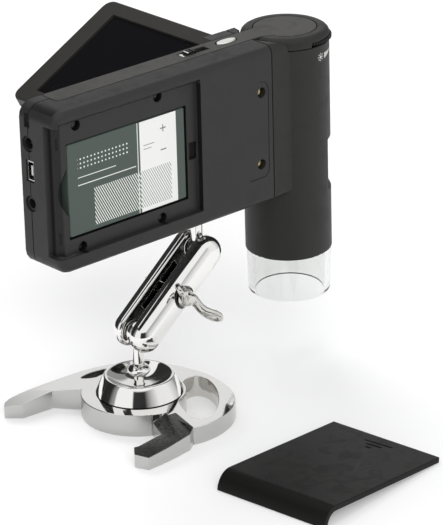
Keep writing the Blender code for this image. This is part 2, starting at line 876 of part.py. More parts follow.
def snap_outline(spare):
    centre = (case_left + snap_place[0], snap_place[1])
    return ellipse(centre, snap_half_length + spare, snap_half_width + spare, 0, 24)


def switch_slot(name, low, high, spare=0):
    return block(name, (case_left + switch_slot_start - spare, switch_slot_back - spare, low),
                 (case_left + switch_slot_end + spare, switch_slot_front + spare, high))


def top_pocket(name):
    return slab(name, grown(cover_outline(), gap), case_high - cover_thickness - gap,
                case_high + overrun)


def snap_well(name):
    return slab(name, snap_outline(run_gap), case_high - snap_well_depth,
                case_high + overrun)


def bush_seat(name):
    return rod(name, bush_radius + gap, (arm_x, 0, case_low - overrun),
               (arm_x, 0, case_low + bush_length + gap), middle_sides)


def bush_boss(name, low_y, high_y):
    return block(name, (arm_x - bush_boss_half, low_y, case_low + case_wall / 2),
                 (arm_x + bush_boss_half, high_y, case_low + bush_boss_height))


def port_cuts(name):
    dc_y, dc_z = dc_place[0], case_low + dc_place[1]
    av_y, av_z = av_place[0], case_low + av_place[1]
    usb_y, usb_z = usb_place[0], case_low + usb_place[1]
    out, inside = case_left - overrun, case_left + port_length + overrun
    collar = jack_collar_radius + gap
    strap_y, strap_z = strap_slot_place[0], case_low + strap_slot_place[1]
    return [
        rod(name + "_dc", collar, (out, dc_y, dc_z), (inside, dc_y, dc_z)),
        rod(name + "_av", collar, (out, av_y, av_z), (inside, av_y, av_z)),
        block(name + "_usb", (out, usb_y - usb_half_depth - gap,
                              usb_z - usb_half_height - gap),
              (inside, usb_y + usb_half_depth + gap, usb_z + usb_half_height + gap)),
        block(name + "_strap", (out, strap_y - strap_slot_half[0],
                                strap_z - strap_slot_half[1]),
              (case_left + strap_slot_depth, strap_y + strap_slot_half[0],
               strap_z + strap_slot_half[1])),
    ]


def make_rear_case(on):
    seam = seam_depth - gap / 2
    case = part(rounded_block("rear_case", (case_left, case_back, case_low),
                              (case_right, seam, case_high), case_corner, case_rim,
                              case_back), "black", on)
    inner_left, inner_right = case_left + case_wall, case_right - inner_space_right
    inner_low, inner_high = case_low + case_wall, case_high - case_wall
    hollow = block("rear_hollow", (inner_left, tray_back, inner_low),
                   (inner_right, seam + overrun, inner_high))
    cut(hollow, bush_boss("rear_boss", case_back, seam + 2 * overrun))
    side = block("side_hollow", (case_left + seat_length + side_hollow_space,
                                 case_back + case_wall, inner_low),
                 (inner_right, 0, inner_high))
    cut(side, bush_boss("side_boss", case_back, overrun))

    floor_left = case_left + seat_side_width
    seat = slab("cover_seat", [
        (case_left + seat_length, case_back - overrun), (case_left + seat_length, seat_floor),
        (floor_left + seat_side_width, seat_floor), (floor_left, seat_floor + seat_side_width),
        (floor_left, case_back + seat_side_depth),
        (case_left - overrun, case_back + seat_side_depth),
        (case_left - overrun, case_back - overrun)],
        case_low + seat_low, case_low + seat_high)

    bay_x, bay_z = case_left + bay_left, case_low + bay_low
    bay = block("battery_bay", (bay_x, case_back, bay_z),
                (bay_x + bay_length, bay_floor, bay_z + bay_height))
    middle = bay_z + bay_height / 2
    notch_centre = bay_x - notch_reach + notch_radius
    notch = rod("finger_notch", notch_radius, (notch_centre, case_back, middle),
                (notch_centre, seat_floor + notch_depth, middle), wide_sides)
    latch_x = case_left + seat_length - latch_inset
    latch = block("latch_slot", (latch_x - latch_width, case_back,
                                 middle - latch_height / 2),
                  (latch_x, seat_floor + latch_depth, middle + latch_height / 2))
    cut(case, hollow, side, seat, bay, notch, latch)
    for i, rise in enumerate(tab_slot_rises):
        x, z = case_left + tab_slot_inset, case_low + rise
        cut(case, block("tab_slot_" + str(i), (x, case_back, z),
                        (x + tab_slot_width, seat_floor + latch_depth,
                         z + tab_slot_height)))
    half = contact_size / 2 + gap
    depth = seat_floor + battery_thickness / 2
    for i, rise in enumerate(contact_rises):
        z = case_low + rise
        cut(case, block("contact_pocket_" + str(i),
                        (bay_x + bay_length - overrun, depth - half, z - half),
                        (bay_x + bay_length + contact_depth, depth + half, z + half)))
    strip_end = bay_x + bay_length + contact_depth
    cut(case, block("contact_strip_pocket",
                    (strip_end - contact_strip - gap, depth - half,
                     case_low + contact_rises[0] - contact_size - gap),
                    (strip_end + gap, 0,
                     case_low + contact_rises[-1] + contact_size + gap)))
    for i, (along, rise) in enumerate(bay_screw_places):
        x, z = case_left + along, case_low + rise
        cut(case, rod("bay_screw_hole_" + str(i), screw_hole_radius, (x, case_back, z),
                      (x, seat_floor + screw_sink + screw_head_length, z)),
            rod("bay_shank_hole_" + str(i), screw_shank_radius + gap,
                (x, seat_floor, z), (x, 0, z), tiny_sides))
    for i, (along, rise) in enumerate(side_screw_places):
        x, z = case_left + along, case_low + rise
        cut(case, rod("side_screw_hole_" + str(i), screw_hole_radius,
                      (x, case_back - overrun, z),
                      (x, case_back + screw_sink + screw_head_length, z)),
            rod("side_shank_hole_" + str(i), screw_shank_radius + gap,
                (x, case_back + screw_sink, z), (x, seam + overrun, z), tiny_sides))
    cut(case, bush_seat("rear_bush_seat"), top_pocket("rear_top_pocket"),
        switch_slot("rear_switch_slot", inner_high - overrun, case_high + overrun),
        snap_well("rear_snap_well"), *port_cuts("rear_port"))


def make_front_case(on):
    seam = seam_depth + gap / 2
    inner_low, inner_high = case_low + case_wall, case_high - case_wall
    case = part(rounded_block("front_case", (case_left, seam, case_low),
                              (case_right, front_depth, case_high), case_corner,
                              case_wall / 3, front_depth), "black", on)
    join(case, block("hinge_block", (block_left, front_depth - overrun, case_low + gap),
                     (case_right, block_front, case_high)))
    inner_right = case_right - inner_space_right
    inner_front = front_depth - case_wall
    hollow = block("front_hollow", (case_left + case_wall, seam - overrun, inner_low),
                   (inner_right, inner_front, inner_high))
    cut(hollow, bush_boss("front_boss", 0, front_depth))
    cut(case, hollow, top_pocket("front_top_pocket"))
    # Screw bosses reach back to the battery tray and take the shanks.
    boss_end = tray_back + gap
    for i, (along, rise) in enumerate(bay_screw_places):
        x, z = case_left + along, case_low + rise
        join(case, rod("screw_boss_" + str(i), boss_radius, (x, boss_end, z),
                       (x, inner_front + case_wall / 2, z), 12))
        cut(case, rod("boss_hole_" + str(i), screw_shank_radius + gap,
                      (x, boss_end - overrun, z), (x, inner_front, z), tiny_sides))
    for i, (along, rise) in enumerate(side_screw_places):
        x, z = case_left + along, case_low + rise
        cut(case, rod("side_boss_hole_" + str(i), screw_shank_radius + gap,
                      (x, seam - overrun, z), (x, inner_front, z), tiny_sides))
    slot_low = hinge_z - knuckle_half_height - run_gap
    slot_high = hinge_z + knuckle_half_height + run_gap
    cut(case, block("knuckle_slot", (block_left - overrun,
                                     hinge_y - knuckle_radius - run_gap * 2, slot_low),
                    (case_right - hinge_slot_wall, block_front + overrun, slot_high)),
        rod("hinge_pin_hole", hinge_pin_radius + gap,
            (hinge_x, hinge_y, slot_low - hinge_pin_grip - gap),
            (hinge_x, hinge_y, slot_high + hinge_pin_grip + gap), 12))
    for i, rise in enumerate(menu_button_rises):
        z = case_low + rise
        cut(case, rod("menu_hole_" + str(i), menu_button_radius + run_gap,
                      (hinge_x, block_front + overrun, z),
                      (hinge_x, block_front + menu_button_rise - menu_button_length
                       - menu_travel - gap, z)))
    cut(case, bush_seat("front_bush_seat"),
        switch_slot("front_switch_slot", inner_high - overrun, case_high + overrun),
        snap_well("front_snap_well"), *port_cuts("front_port"))


def make_top_cover(on):
    cover = part(slab("top_cover", cover_outline(), case_high - cover_thickness,
                      case_high), "grey", on)
    cut(cover, switch_slot("cover_switch_slot", case_high - overrun,
                           case_high + overrun),
        slab("cover_snap_hole", snap_outline(run_gap), case_high - overrun,
             case_high + overrun))


def make_controls(handset, switch_on, snap_on):
    knob_left = case_left + switch_slot_start + run_gap
    knob_low = case_high - case_wall
    knob = part(block("power_switch_knob",
                      (knob_left, switch_slot_back + run_gap, knob_low),
                      (knob_left + switch_knob_length, switch_slot_front - run_gap,
                       case_high + switch_knob_rise)), "chrome", switch_on)
    groove = switch_knob_length / 5
    for i in range(2):
        x = knob_left + groove * (1 + 2 * i)
        cut(knob, block("knob_groove_" + str(i),
                        (x, switch_slot_back - overrun, case_high),
                        (x + groove, switch_slot_front + overrun,
                         case_high + switch_knob_rise + overrun)))
    part(block("power_switch_body",
               (case_left + switch_slot_start, switch_slot_back,
                knob_low - gap - switch_body_height),
               (case_left + switch_slot_end, switch_slot_front - gap, knob_low - gap)),
         "black", handset)
    well = case_high - snap_well_depth
    part(soft_slab("snap_button", snap_outline(0), well + gap + snap_switch_height
                   + snap_travel + gap, case_high + snap_rise, "XY",
                   case_high + snap_rise, snap_rise, 1), "silver", snap_on)
    x, y = case_left + snap_place[0], snap_place[1]
    part(block("snap_switch", (x - snap_half_length / 2, y - snap_stem, well + gap),
               (x + snap_half_length / 2, y + snap_stem,
                well + gap + snap_switch_height)), "black", handset)


def make_menu_button(i, on):
    front = block_front + menu_button_rise
    part(rod("menu_button_" + str(i + 1), menu_button_radius,
             (0, front - menu_button_length - block_front, 0), (0, front - block_front, 0)),
         "grey", on, local=True)


def make_ports(on):
    face = case_left + port_inset
    for name, place, radius in (("dc_jack", dc_place, dc_hole_radius),
                                ("av_jack", av_place, av_hole_radius)):
        y, z = place[0], case_low + place[1]
        jack = part(rod(name, jack_collar_radius, (face, y, z),
                        (case_left + port_length, y, z)), "black", on)
        join(jack, block(name + "_body", (case_left + case_wall + gap, port_back,
                                          z - port_half_height),
                         (case_left + port_length, port_front, z + port_half_height)))
        cut(jack, rod(name + "_hole", radius, (face - overrun, y, z),
                      (case_left + port_length - case_wall / 2, y, z), 12))
        if name == "dc_jack":
            join(jack, rod("dc_pin", jack_pin_radius, (face + jack_collar_radius / 2, y, z),
                           (case_left + port_length - case_wall / 4, y, z), 8))
    y, z = usb_place[0], case_low + usb_place[1]
    usb = part(block("usb_socket", (face, y - usb_half_depth, z - usb_half_height),
                     (case_left + port_length, y + usb_half_depth, z + usb_half_height)),
               "silver", on)
    cut(usb, block("usb_hole", (face - overrun, y - usb_half_depth + usb_shell,
                                z - usb_half_height + usb_shell),
                   (case_left + port_length - case_wall / 2,
                    y + usb_half_depth - usb_shell, z + usb_half_height - usb_shell)))
    join(usb, block("usb_tongue", (face + usb_tongue, y - usb_tongue,
                                   z - usb_half_height / 2),
                    (case_left + port_length - case_wall / 4, y + usb_tongue,
                     z + usb_half_height / 2)))


def make_board(on):
    back = tray_back + gap
    part(block("main_circuit_board", (case_left + board_left, back, case_low + board_low),
               (case_left + board_right, back + board_thickness, case_low + board_high)),
         "board", on)


def make_battery(on):
    middle_x = case_left + bay_left + bay_length / 2
    middle_z = case_low + bay_low + bay_height / 2
    outline = round_outline(middle_x - battery_length / 2, middle_z - battery_height / 2,
                            middle_x + battery_length / 2, middle_z + battery_height / 2,
                            battery_round, 3)
    front = seat_floor + gap
    part(slab("battery", outline, front, front + battery_thickness, "XZ"), "battery", on)


def make_contacts(on):
    # Three sprung blades on a strip, in pockets at the battery's contact end.
    half = contact_size / 2
    start = case_left + bay_left + bay_length
    depth = seat_floor + battery_thickness / 2
    end = start + contact_depth
    strip = part(block("battery_contacts",
                       (end - contact_strip, depth - half,
                        case_low + contact_rises[0] - contact_size),
                       (end, depth + half, case_low + contact_rises[-1] + contact_size)),
                 "brass", on)
    for i, rise in enumerate(contact_rises):
        z = case_low + rise
        join(strip, block("contact_" + str(i), (start, depth - half + gap, z - half),
                          (end - contact_strip / 2, depth + half - gap, z + half)))


def make_bush(on):
    bush = part(rod("tripod_bush", bush_radius, (arm_x, 0, case_low),
                    (arm_x, 0, case_low + bush_length), middle_sides), "brass", on)
    cut(bush, rod("bush_thread", thread_radius + gap, (arm_x, 0, case_low - overrun),
                  (arm_x, 0, case_low + thread_length + 2 * gap)))


def sector(radius, start, end, steps):
    return [(barrel_x, barrel_y)] + arc(barrel_x, barrel_y, radius, start, end, steps)


def window_low():
    return case_low + window_low_above_case


def make_barrel(on):
    housing = part(rounded_bracket(), "black", on)
    join(housing, rod("barrel_tube", barrel_radius, (barrel_x, barrel_y, barrel_low),
                      (barrel_x, barrel_y, crown_low - gap), wide_sides))
    low, high = window_low(), window_low() + window_height
    bore = [(0, crown_low + overrun), (barrel_bore, crown_low + overrun),
            (barrel_bore, high + ledge_height), (ledge_radius, high + ledge_height),
            (ledge_radius, high), (barrel_bore, high), (barrel_bore, low),
            (ledge_radius, low), (ledge_radius, low - ledge_height),
            (barrel_bore, low - ledge_height), (barrel_bore, barrel_low - overrun),
            (0, barrel_low - overrun)]
    cut(housing, top_pocket("bracket_top_pocket"),
        turned("barrel_bore", bore, (barrel_x, barrel_y, 0)),
        rod("crown_seat", crown_radius + gap, (barrel_x, barrel_y, crown_low - gap),
            (barrel_x, barrel_y, case_high + overrun), wide_sides),
        focus_window("focus_window"))


def focus_window(name):
    # Cuts through the barrel's wall part of the way round, wider at the outside.
    low, high = window_low(), window_low() + window_height
    out, flare = overrun / barrel_wall, window_flare
    profile = [(ledge_radius, low), (barrel_bore, low),
               (barrel_radius + overrun, low - flare * (1 + out)),
               (barrel_radius + overrun, high + flare * (1 + out)),
               (barrel_bore, high), (ledge_radius, high)]
    shape = bmesh.new()
    corners = [shape.verts.new((barrel_x + r * cos(window_start),
                                barrel_y + r * sin(window_start), z))
               for r, z in profile]
    face = shape.faces.new(corners)
    bmesh.ops.spin(shape, geom=[face, *face.edges, *face.verts], steps=14,
                   cent=(barrel_x, barrel_y, 0), axis=(0, 0, 1),
                   angle=window_end - window_start, use_duplicate=False)
    bmesh.ops.recalc_face_normals(shape, faces=shape.faces)
    return finished(name, shape)


def rounded_bracket():
    # The bracket box has its rim rounded at the back like the case beside it.
    low = (case_right + gap, case_back, case_low)
    high = (barrel_x, bracket_front, case_high)
    shape = box_shape(low, high)
    rim = [e for e in shape.edges
           if all(abs(v.co.y - case_back) < gap for v in e.verts)
           and abs(e.verts[0].co.x - e.verts[1].co.x) > gap]
    bmesh.ops.bevel(shape, geom=rim, offset=case_rim, segments=3, profile=0.5,
                    affect="EDGES")
    return finished("barrel_housing", shape)


def wheel_centre():
    return (barrel_x + wheel_centre_distance * cos(wheel_azimuth),
            barrel_y + wheel_centre_distance * sin(wheel_azimuth))


def make_crown(on):
    slope = crown_radius - crown_flat
    profile = [(0, case_high), (crown_flat, case_high)]
    for out, down in crown_slope_shares:
        profile.append((crown_flat + slope * out, case_high - slope * down))
    profile += [(crown_radius, crown_low), (0, crown_low)]
    crown = part(turned("barrel_crown", profile, (barrel_x, barrel_y, 0)), "black", on)
    cut(crown, top_pocket("crown_pocket"),
        rod("crown_hollow", crown_radius - crown_wall, (barrel_x, barrel_y,
                                                        crown_low - overrun),
            (barrel_x, barrel_y, crown_hollow_high), wide_sides),
        slab("wheel_slot", sector(crown_radius + overrun,
                                  wheel_azimuth - wheel_slot_half_angle,
                                  wheel_azimuth + wheel_slot_half_angle, 14),
             crown_low - overrun, crown_hollow_high))
    x, y = wheel_centre()
    join(crown, rod("wheel_pin", wheel_pin_radius, (x, y, wheel_low - run_gap / 2),
                    (x, y, crown_hollow_high + run_gap), 12))


def make_wheel(on):
    x, y = wheel_centre()
    wheel = part(rod("brightness_wheel", wheel_radius, (x, y, wheel_low),
                     (x, y, wheel_low + wheel_thickness), wide_sides), "black", on)
    cut(wheel, rod("wheel_bore", wheel_pin_radius + gap, (x, y, wheel_low - overrun),
                   (x, y, crown_hollow_high + overrun), 12))


def make_focus(ring_on, lens_on):
    low, high = window_low() + run_gap, window_low() + window_height - run_gap
    ring = [(focus_ring_radius, high), (focus_ring_radius, low), (focus_ring_bore, low),
            (focus_ring_bore, high)]
    part(turned("focus_ring", ring, (barrel_x, barrel_y, 0), closed=True), "black",
         ring_on)
    foot = led_board_low() + board_thickness + gap
    inner = lens_tube_radius - lens_tube_wall
    flange = window_low() + lens_flange_rise
    top = flange + lens_flange_height + lens_tube_above
    lip = inner - lens_tube_wall
    tube = [(lens_tube_radius, top), (lens_tube_radius, flange + lens_flange_height),
            (lens_flange_radius, flange + lens_flange_height),
            (lens_flange_radius, flange), (lens_tube_radius, flange),
            (lens_tube_radius, foot), (lip, foot), (lip, foot + lens_tube_wall),
            (inner, foot + lens_tube_wall), (inner, top)]
    part(turned("lens_barrel", tube, (barrel_x, barrel_y, 0), middle_sides,
                closed=True), "black", lens_on)
    rest = foot + lens_tube_wall + gap
    lens = [(0, rest + lens_thickness),
            (inner / 2, rest + lens_thickness * lens_dome_shares[0]),
            (inner - gap, rest + lens_thickness * lens_dome_shares[1]),
            (inner - gap, rest), (0, rest)]
    part(turned("objective_lens", lens, (barrel_x, barrel_y, 0), middle_sides),
         "glass", lens_on)


def led_board_low():
    return barrel_low + nose_spigot + led_board_above_nose


def make_nose(on):
    shoulder = barrel_low - gap
    tip = shoulder - nose_length
    spigot = barrel_bore - gap
    bore = nose_radius - nose_wall
    profile = [(spigot, barrel_low + nose_spigot), (spigot, shoulder),
               (nose_radius, shoulder),
               (nose_tip_radius + (nose_radius - nose_tip_radius) * nose_step_share,
                tip + nose_wall / 2),
               (nose_tip_radius - nose_wall * nose_edge_share, tip),
               (nose_tip_radius - nose_wall, tip), (bore, shoulder),
               (spigot - nose_wall / 2, barrel_low + nose_spigot)]
    part(turned("nose_tube", profile, (barrel_x, barrel_y, 0), closed=True), "clear", on)


def make_led_ring(on):
    low = led_board_low()
    high = low + board_thickness
    outer = barrel_bore - gap
    board = [(outer, high), (outer, low), (led_board_bore, low), (led_board_bore, high)]
    ring = part(turned("led_ring_board", board, (barrel_x, barrel_y, 0), 32,
                       closed=True), "board", on)
    for i in range(led_count):
        turn = 2 * pi * i / led_count
        x = barrel_x + led_circle * cos(turn)
        y = barrel_y + led_circle * sin(turn)
        join(ring, rod("led_" + str(i), led_radius * led_tip_share,
                       (x, y, low - led_height),
                       (x, y, low + board_thickness / 2), 8, led_radius))


def make_sensor(on):
    low = window_low() + window_height + ledge_height + gap
    board = part(rod("image_sensor_board", barrel_bore - gap, (barrel_x, barrel_y, low),
                     (barrel_x, barrel_y, low + board_thickness), 32), "board", on)
    join(board, block("sensor_chip", (barrel_x - sensor_half, barrel_y - sensor_half,
                                      low - sensor_height),
                      (barrel_x + sensor_half, barrel_y + sensor_half,
                       low + board_thickness / 2)))


def make_hinge(handset, swing):
    low = hinge_z - knuckle_half_height
    high = hinge_z + knuckle_half_height
    part(rod("hinge_pin", hinge_pin_radius,
             (hinge_x, hinge_y, low - run_gap - hinge_pin_grip),
             (hinge_x, hinge_y, high + run_gap + hinge_pin_grip), 12), "silver", handset)
    knuckle = part(rod("screen_knuckle", knuckle_radius, (hinge_x, hinge_y, low),
                       (hinge_x, hinge_y, high)), "black", swing)
    flange_end = hinge_y + screen_near - gap
    flange_start = flange_end - hinge_flange_thickness
    join(knuckle,
         block("knuckle_neck", (hinge_x - neck_half_width, hinge_y,
                                hinge_z - neck_half_height),
               (hinge_x + neck_half_width, flange_start + hinge_flange_thickness / 2,
                hinge_z + neck_half_height)),
         rod("knuckle_flange", hinge_flange_radius, (hinge_x, flange_start, hinge_z),
             (hinge_x, flange_end, hinge_z), middle_sides),
         rod("knuckle_shaft", pivot_shaft_radius,
             (hinge_x, flange_start + hinge_flange_thickness / 2, hinge_z),
             (hinge_x, flange_end + pivot_shaft_length, hinge_z), 12))
    cut(knuckle, rod("knuckle_bore", hinge_pin_radius + gap,
                     (hinge_x, hinge_y, low - overrun), (hinge_x, hinge_y, high + overrun),
                     12))


def screen_outline():
    half = screen_width / 2
    return round_outline(-half, screen_near, half, screen_near + screen_length,
                         screen_corner)


def pivot_bore(name):
    end = screen_near + pivot_shaft_length + gap
    return rod(name, pivot_shaft_radius + gap, (0, screen_near - overrun, 0), (0, end, 0),
               12)


def screen_screw_places():
    across = screen_width / 2 - screen_screw_inset
    near = screen_near + screen_screw_inset
    far = screen_near + screen_length - screen_screw_inset
    return [(side * across, y) for side in (-1, 1) for y in (near, far)]


def make_screen(on):
    front = screen_thickness / 2
    back = -front
    split = back + screen_back_thickness
    frame_low = split + gap
    frame = part(soft_slab("screen_frame", screen_outline(), frame_low, front, "XY",
                           front, screen_edge, 2), "black", on, local=True)
    plate = part(soft_slab("screen_back", screen_outline(), back, split, "XY", back,
                           screen_edge, 2), "black", on, local=True)
    half = screen_width / 2
    far = screen_near + screen_length
    bezel_low = front - bezel_thickness
    cut(frame, block("lcd_room", (-half + lcd_side, screen_near + lcd_near,
                                  frame_low - overrun),
                     (half - lcd_side, far - lcd_far, bezel_low)),
        block("screen_window", (-half + window_side, screen_near + window_near,
                                frame_low - overrun),
              (half - window_side, far - window_far, front + overrun)),
        pivot_bore("frame_pivot_bore"))
    cut(plate, pivot_bore("back_pivot_bore"))
    part(block("screen_glass", (-half + window_side + gap,
                                screen_near + window_near + gap, bezel_low),
               (half - window_side - gap, far - window_far - gap,
                bezel_low + glass_thickness)), "gloss", on, local=True)
    lcd_high = bezel_low - gap
    part(block("lcd_module", (-half + lcd_side + gap, screen_near + lcd_near + gap,
                              lcd_high - lcd_thickness),
               (half - lcd_side - gap, far - lcd_far - gap, lcd_high)), "silver", on,
         local=True)
    for i, (x, y) in enumerate(screen_screw_places()):
        head_end = back + screen_back_thickness / 2
        cut(plate, rod("screen_screw_room_" + str(i), screen_screw_radius + gap,
                       (x, y, back - overrun), (x, y, head_end + gap), 12),
            rod("screen_screw_hole_" + str(i), screen_screw_radius / 2 + gap,
                (x, y, back), (x, y, split + overrun), 8))
        cut(frame, rod("frame_screw_hole_" + str(i), screen_screw_radius / 2 + gap,
                       (x, y, split - overrun), (x, y, bezel_low + gap), 8))
        screw("screen_screw_" + str(i + 1), screen_screw_radius, head_end - back - gap,
              screen_screw_radius / 2, bezel_low - back - gap, (x, y, back + gap), pi,
              "silver", on, local=True)


def make_battery_cover(on, lean):
    # Cross-section: a flat plate that rests on its right end, curled down at the left.
    bend = [(-cover_run + cover_curl * (1 - sin(t)), cover_plate - cover_drop
             + cover_drop * cos(t)) for t in (pi / 2 * (1 - i / 6) for i in range(7))]
    inner_curl = cover_curl - cover_plate
    inner_drop = cover_drop - cover_plate
    inner = [(-cover_run + cover_plate + inner_curl * (1 - sin(t)), -inner_drop
              + inner_drop * cos(t)) for t in (pi / 2 * i / 6 for i in range(7))]
    outline = [(0, 0), (0, cover_plate)] + bend[::-1] + inner[::-1]
    cover = part(slab("battery_cover", outline, -cover_width / 2, cover_width / 2, "XZ"),
                 "cover", on, local=True)
    cover.rotation_euler = (0, lean, 0)


def main():
    make_base()
    make_cone()
    swivel = carrier("stand_swivel_axis", (0, 0, 0))
    make_lower_stud(swivel)
    arm = carrier("arm_tilt_axis", (0, 0, lower_ball_height), swivel, -arm_angle)
    make_plate("arm_plate_near", -1, arm)
    make_plate("arm_plate_far", 1, arm)
    make_clamp(arm)
    middle = (arm_x / 2, 0, (lower_ball_height + arm_z) / 2)
    make_wing_screw(carrier("wing_screw_axis", middle, arm, wing_angle))
    head = carrier("head_tilt_axis", (arm_x, 0, arm_z), arm)
    make_upper_stud(head)
    handset = carrier("head_swivel_axis", (arm_x, 0, arm_z), head)
    make_rear_case(handset)
    make_front_case(handset)
    make_top_cover(handset)
    slot_x = case_left + switch_slot_start + run_gap + switch_knob_length / 2
    slot_y = (switch_slot_back + switch_slot_front) / 2
    snap_x, snap_y = case_left + snap_place[0], snap_place[1]
    make_controls(handset,
                  carrier("power_switch_axis", (slot_x, slot_y, case_high), handset),
                  carrier("snap_button_axis", (snap_x, snap_y, case_high), handset))
    for i, rise in enumerate(menu_button_rises):
        place = (hinge_x, block_front, case_low + rise)
        make_menu_button(i, carrier("menu_button_axis_" + str(i + 1), place, handset))
    make_ports(handset)
    make_board(handset)
    bay_x = case_left + bay_left + bay_length / 2
    bay_z = case_low + bay_low + bay_height / 2
    make_battery(carrier("battery_axis", (bay_x, seat_floor, bay_z), handset))
    make_contacts(handset)
    make_bush(handset)
    case_screws("bay_screw", bay_screw_places, seat_floor + screw_sink - gap, "silver",
                handset)
    case_screws("side_screw", side_screw_places, case_back + screw_sink - gap, "brass",
                handset)
    barrel = carrier("barrel_axis", (barrel_x, barrel_y, barrel_low), handset)
    make_barrel(handset)
    make_crown(handset)
    make_wheel(carrier("brightness_wheel_axis", (*wheel_centre(), crown_low), handset))
    make_focus(barrel, barrel)
    make_nose(handset)
    make_led_ring(handset)
    make_sensor(handset)
    swing = carrier("screen_swing_axis", (hinge_x, hinge_y, hinge_z), handset)
    make_hinge(handset, swing)
    flip = carrier("screen_flip_axis", (hinge_x, hinge_y, hinge_z), swing, -screen_tilt)
    make_screen(flip)
    # It leans on its right edge and on the inner edge of the curl.
    lean = atan2(cover_drop - cover_plate, cover_run - cover_plate)
    floor_place = carrier("cover_place", (*cover_place, 0))
    floor_place.rotation_euler = (0, 0, cover_turn)
    make_battery_cover(floor_place, lean)


parts, cutters = fresh_scene()
main()
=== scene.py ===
# Handheld digital microscope on its chrome two-ball stand: looks, floor, light and camera.
# Sizes are in millimetres unless a comment says otherwise. mm turns them into metres.
import json
from math import acos, atan2, copysign, cos, pi, radians, sin

import bmesh
import bpy
from mathutils import Matrix, Vector


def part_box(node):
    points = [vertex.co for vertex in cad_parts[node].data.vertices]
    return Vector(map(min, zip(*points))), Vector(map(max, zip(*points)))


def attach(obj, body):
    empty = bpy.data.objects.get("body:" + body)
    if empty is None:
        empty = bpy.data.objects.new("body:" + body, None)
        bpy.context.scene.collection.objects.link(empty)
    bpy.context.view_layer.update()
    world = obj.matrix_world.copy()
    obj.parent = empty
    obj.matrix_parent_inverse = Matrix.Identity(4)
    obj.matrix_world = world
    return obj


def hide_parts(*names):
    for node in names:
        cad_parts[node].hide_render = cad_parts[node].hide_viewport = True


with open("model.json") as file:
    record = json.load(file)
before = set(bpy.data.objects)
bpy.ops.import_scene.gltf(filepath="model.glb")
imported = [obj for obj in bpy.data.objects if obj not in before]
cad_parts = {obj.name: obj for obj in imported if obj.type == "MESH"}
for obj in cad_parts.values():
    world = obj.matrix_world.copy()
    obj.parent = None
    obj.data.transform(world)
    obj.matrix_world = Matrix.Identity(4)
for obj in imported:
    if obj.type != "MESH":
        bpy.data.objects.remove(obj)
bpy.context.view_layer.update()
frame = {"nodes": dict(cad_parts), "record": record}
nodes = frame["nodes"]
bodyOf = {name: body for body, names in frame["record"]["behaviour"]["bodies"].items()
          for name in names}
mm = 0.001
# How near two points are one, in metres: on a cut or turned shape, and on a CAD mesh
samePoint, sameCad = 0.0000005, 0.000002


# Camera, set to the photograph's angle

shot = {
    "lens": 225.81,
    "azimuth": -41.23, "elevation": 22.86, "roll": -1.56,
    "target": (28.6, -13.93, 53.82),
    "distance": 1175.45,
}


def makeCamera():
    turn, rise, roll = (radians(shot[k]) for k in ("azimuth", "elevation", "roll"))
    back = Vector((sin(turn) * cos(rise), -cos(turn) * cos(rise), sin(rise)))
    level = Vector((cos(turn), sin(turn), 0))
    upright = back.cross(level)
    right = level * cos(roll) + upright * sin(roll)
    up = upright * cos(roll) - level * sin(roll)
    data = bpy.data.cameras.new("shotCamera")
    data.lens = shot["lens"]
    data.clip_start, data.clip_end = 0.05, 20
    camera = bpy.data.objects.new("shotCamera", data)
    bpy.context.scene.collection.objects.link(camera)
    place = Vector(shot["target"]) * mm + back * shot["distance"] * mm
    turned = Matrix((right, up, back)).transposed().to_4x4()
    camera.matrix_world = Matrix.Translation(place) @ turned
    bpy.context.scene.camera = camera


makeCamera()
print("camera set")


# Shader helpers

number, colour, vector = "NodeSocketFloat", "NodeSocketColor", "NodeSocketVector"


def wire(tree, kind, settings=None, **inputs):
    # A new node, with each input given as a value or as another node's output.
    node = tree.nodes.new(kind)
    for key, value in (settings or {}).items():
        setattr(node, key, value)
    for key, value in inputs.items():
        counted = key[0] == "i" and key[1:].isdigit()
        socket = node.inputs[int(key[1:]) if counted else key.replace("_", " ")]
        if isinstance(value, bpy.types.NodeSocket):
            tree.links.new(value, socket)
        else:
            socket.default_value = value
    return node


def join(tree, node, **outputs):
    # Links outputs to a node's inputs of these names.
    for key, value in outputs.items():
        tree.links.new(value, node.inputs[key.replace("_", " ")])


def sums(tree, operation, a, b=0.0, c=0.0):
    return wire(tree, "ShaderNodeMath", {"operation": operation}, i0=a, i1=b, i2=c).outputs[0]


def times(tree, a, b):
    return sums(tree, "MULTIPLY", a, b)


def minus(tree, a, b):
    return sums(tree, "SUBTRACT", a, b)


def between(tree, value, low, high, start=0.0, end=1.0):
    return wire(tree, "ShaderNodeMapRange", {"interpolation_type": "SMOOTHSTEP"}, Value=value,
                i1=low, i2=high, i3=start, i4=end).outputs[0]


def blended(tree, factor, a, b):
    return wire(tree, "ShaderNodeMix", {"data_type": "RGBA"}, i0=factor, i6=a, i7=b).outputs[2]


def lengthOf(tree, a, b):
    return sums(tree, "SQRT", sums(tree, "MULTIPLY_ADD", a, a, times(tree, b, b)))


def objectPlace(tree):
    return wire(tree, "ShaderNodeTexCoord").outputs["Object"]


def noise(tree, place, scale, detail, **more):
    return wire(tree, "ShaderNodeTexNoise", Vector=place, Scale=scale, Detail=detail,
                **more).outputs[0]


def toned(tree, base, tone):
    return wire(tree, "ShaderNodeVectorMath", {"operation": "SCALE"}, i0=base,
                Scale=tone).outputs[0]


def bumped(tree, height, strength, distance):
    return wire(tree, "ShaderNodeBump", Strength=strength, Distance=distance,
                Height=height).outputs[0]


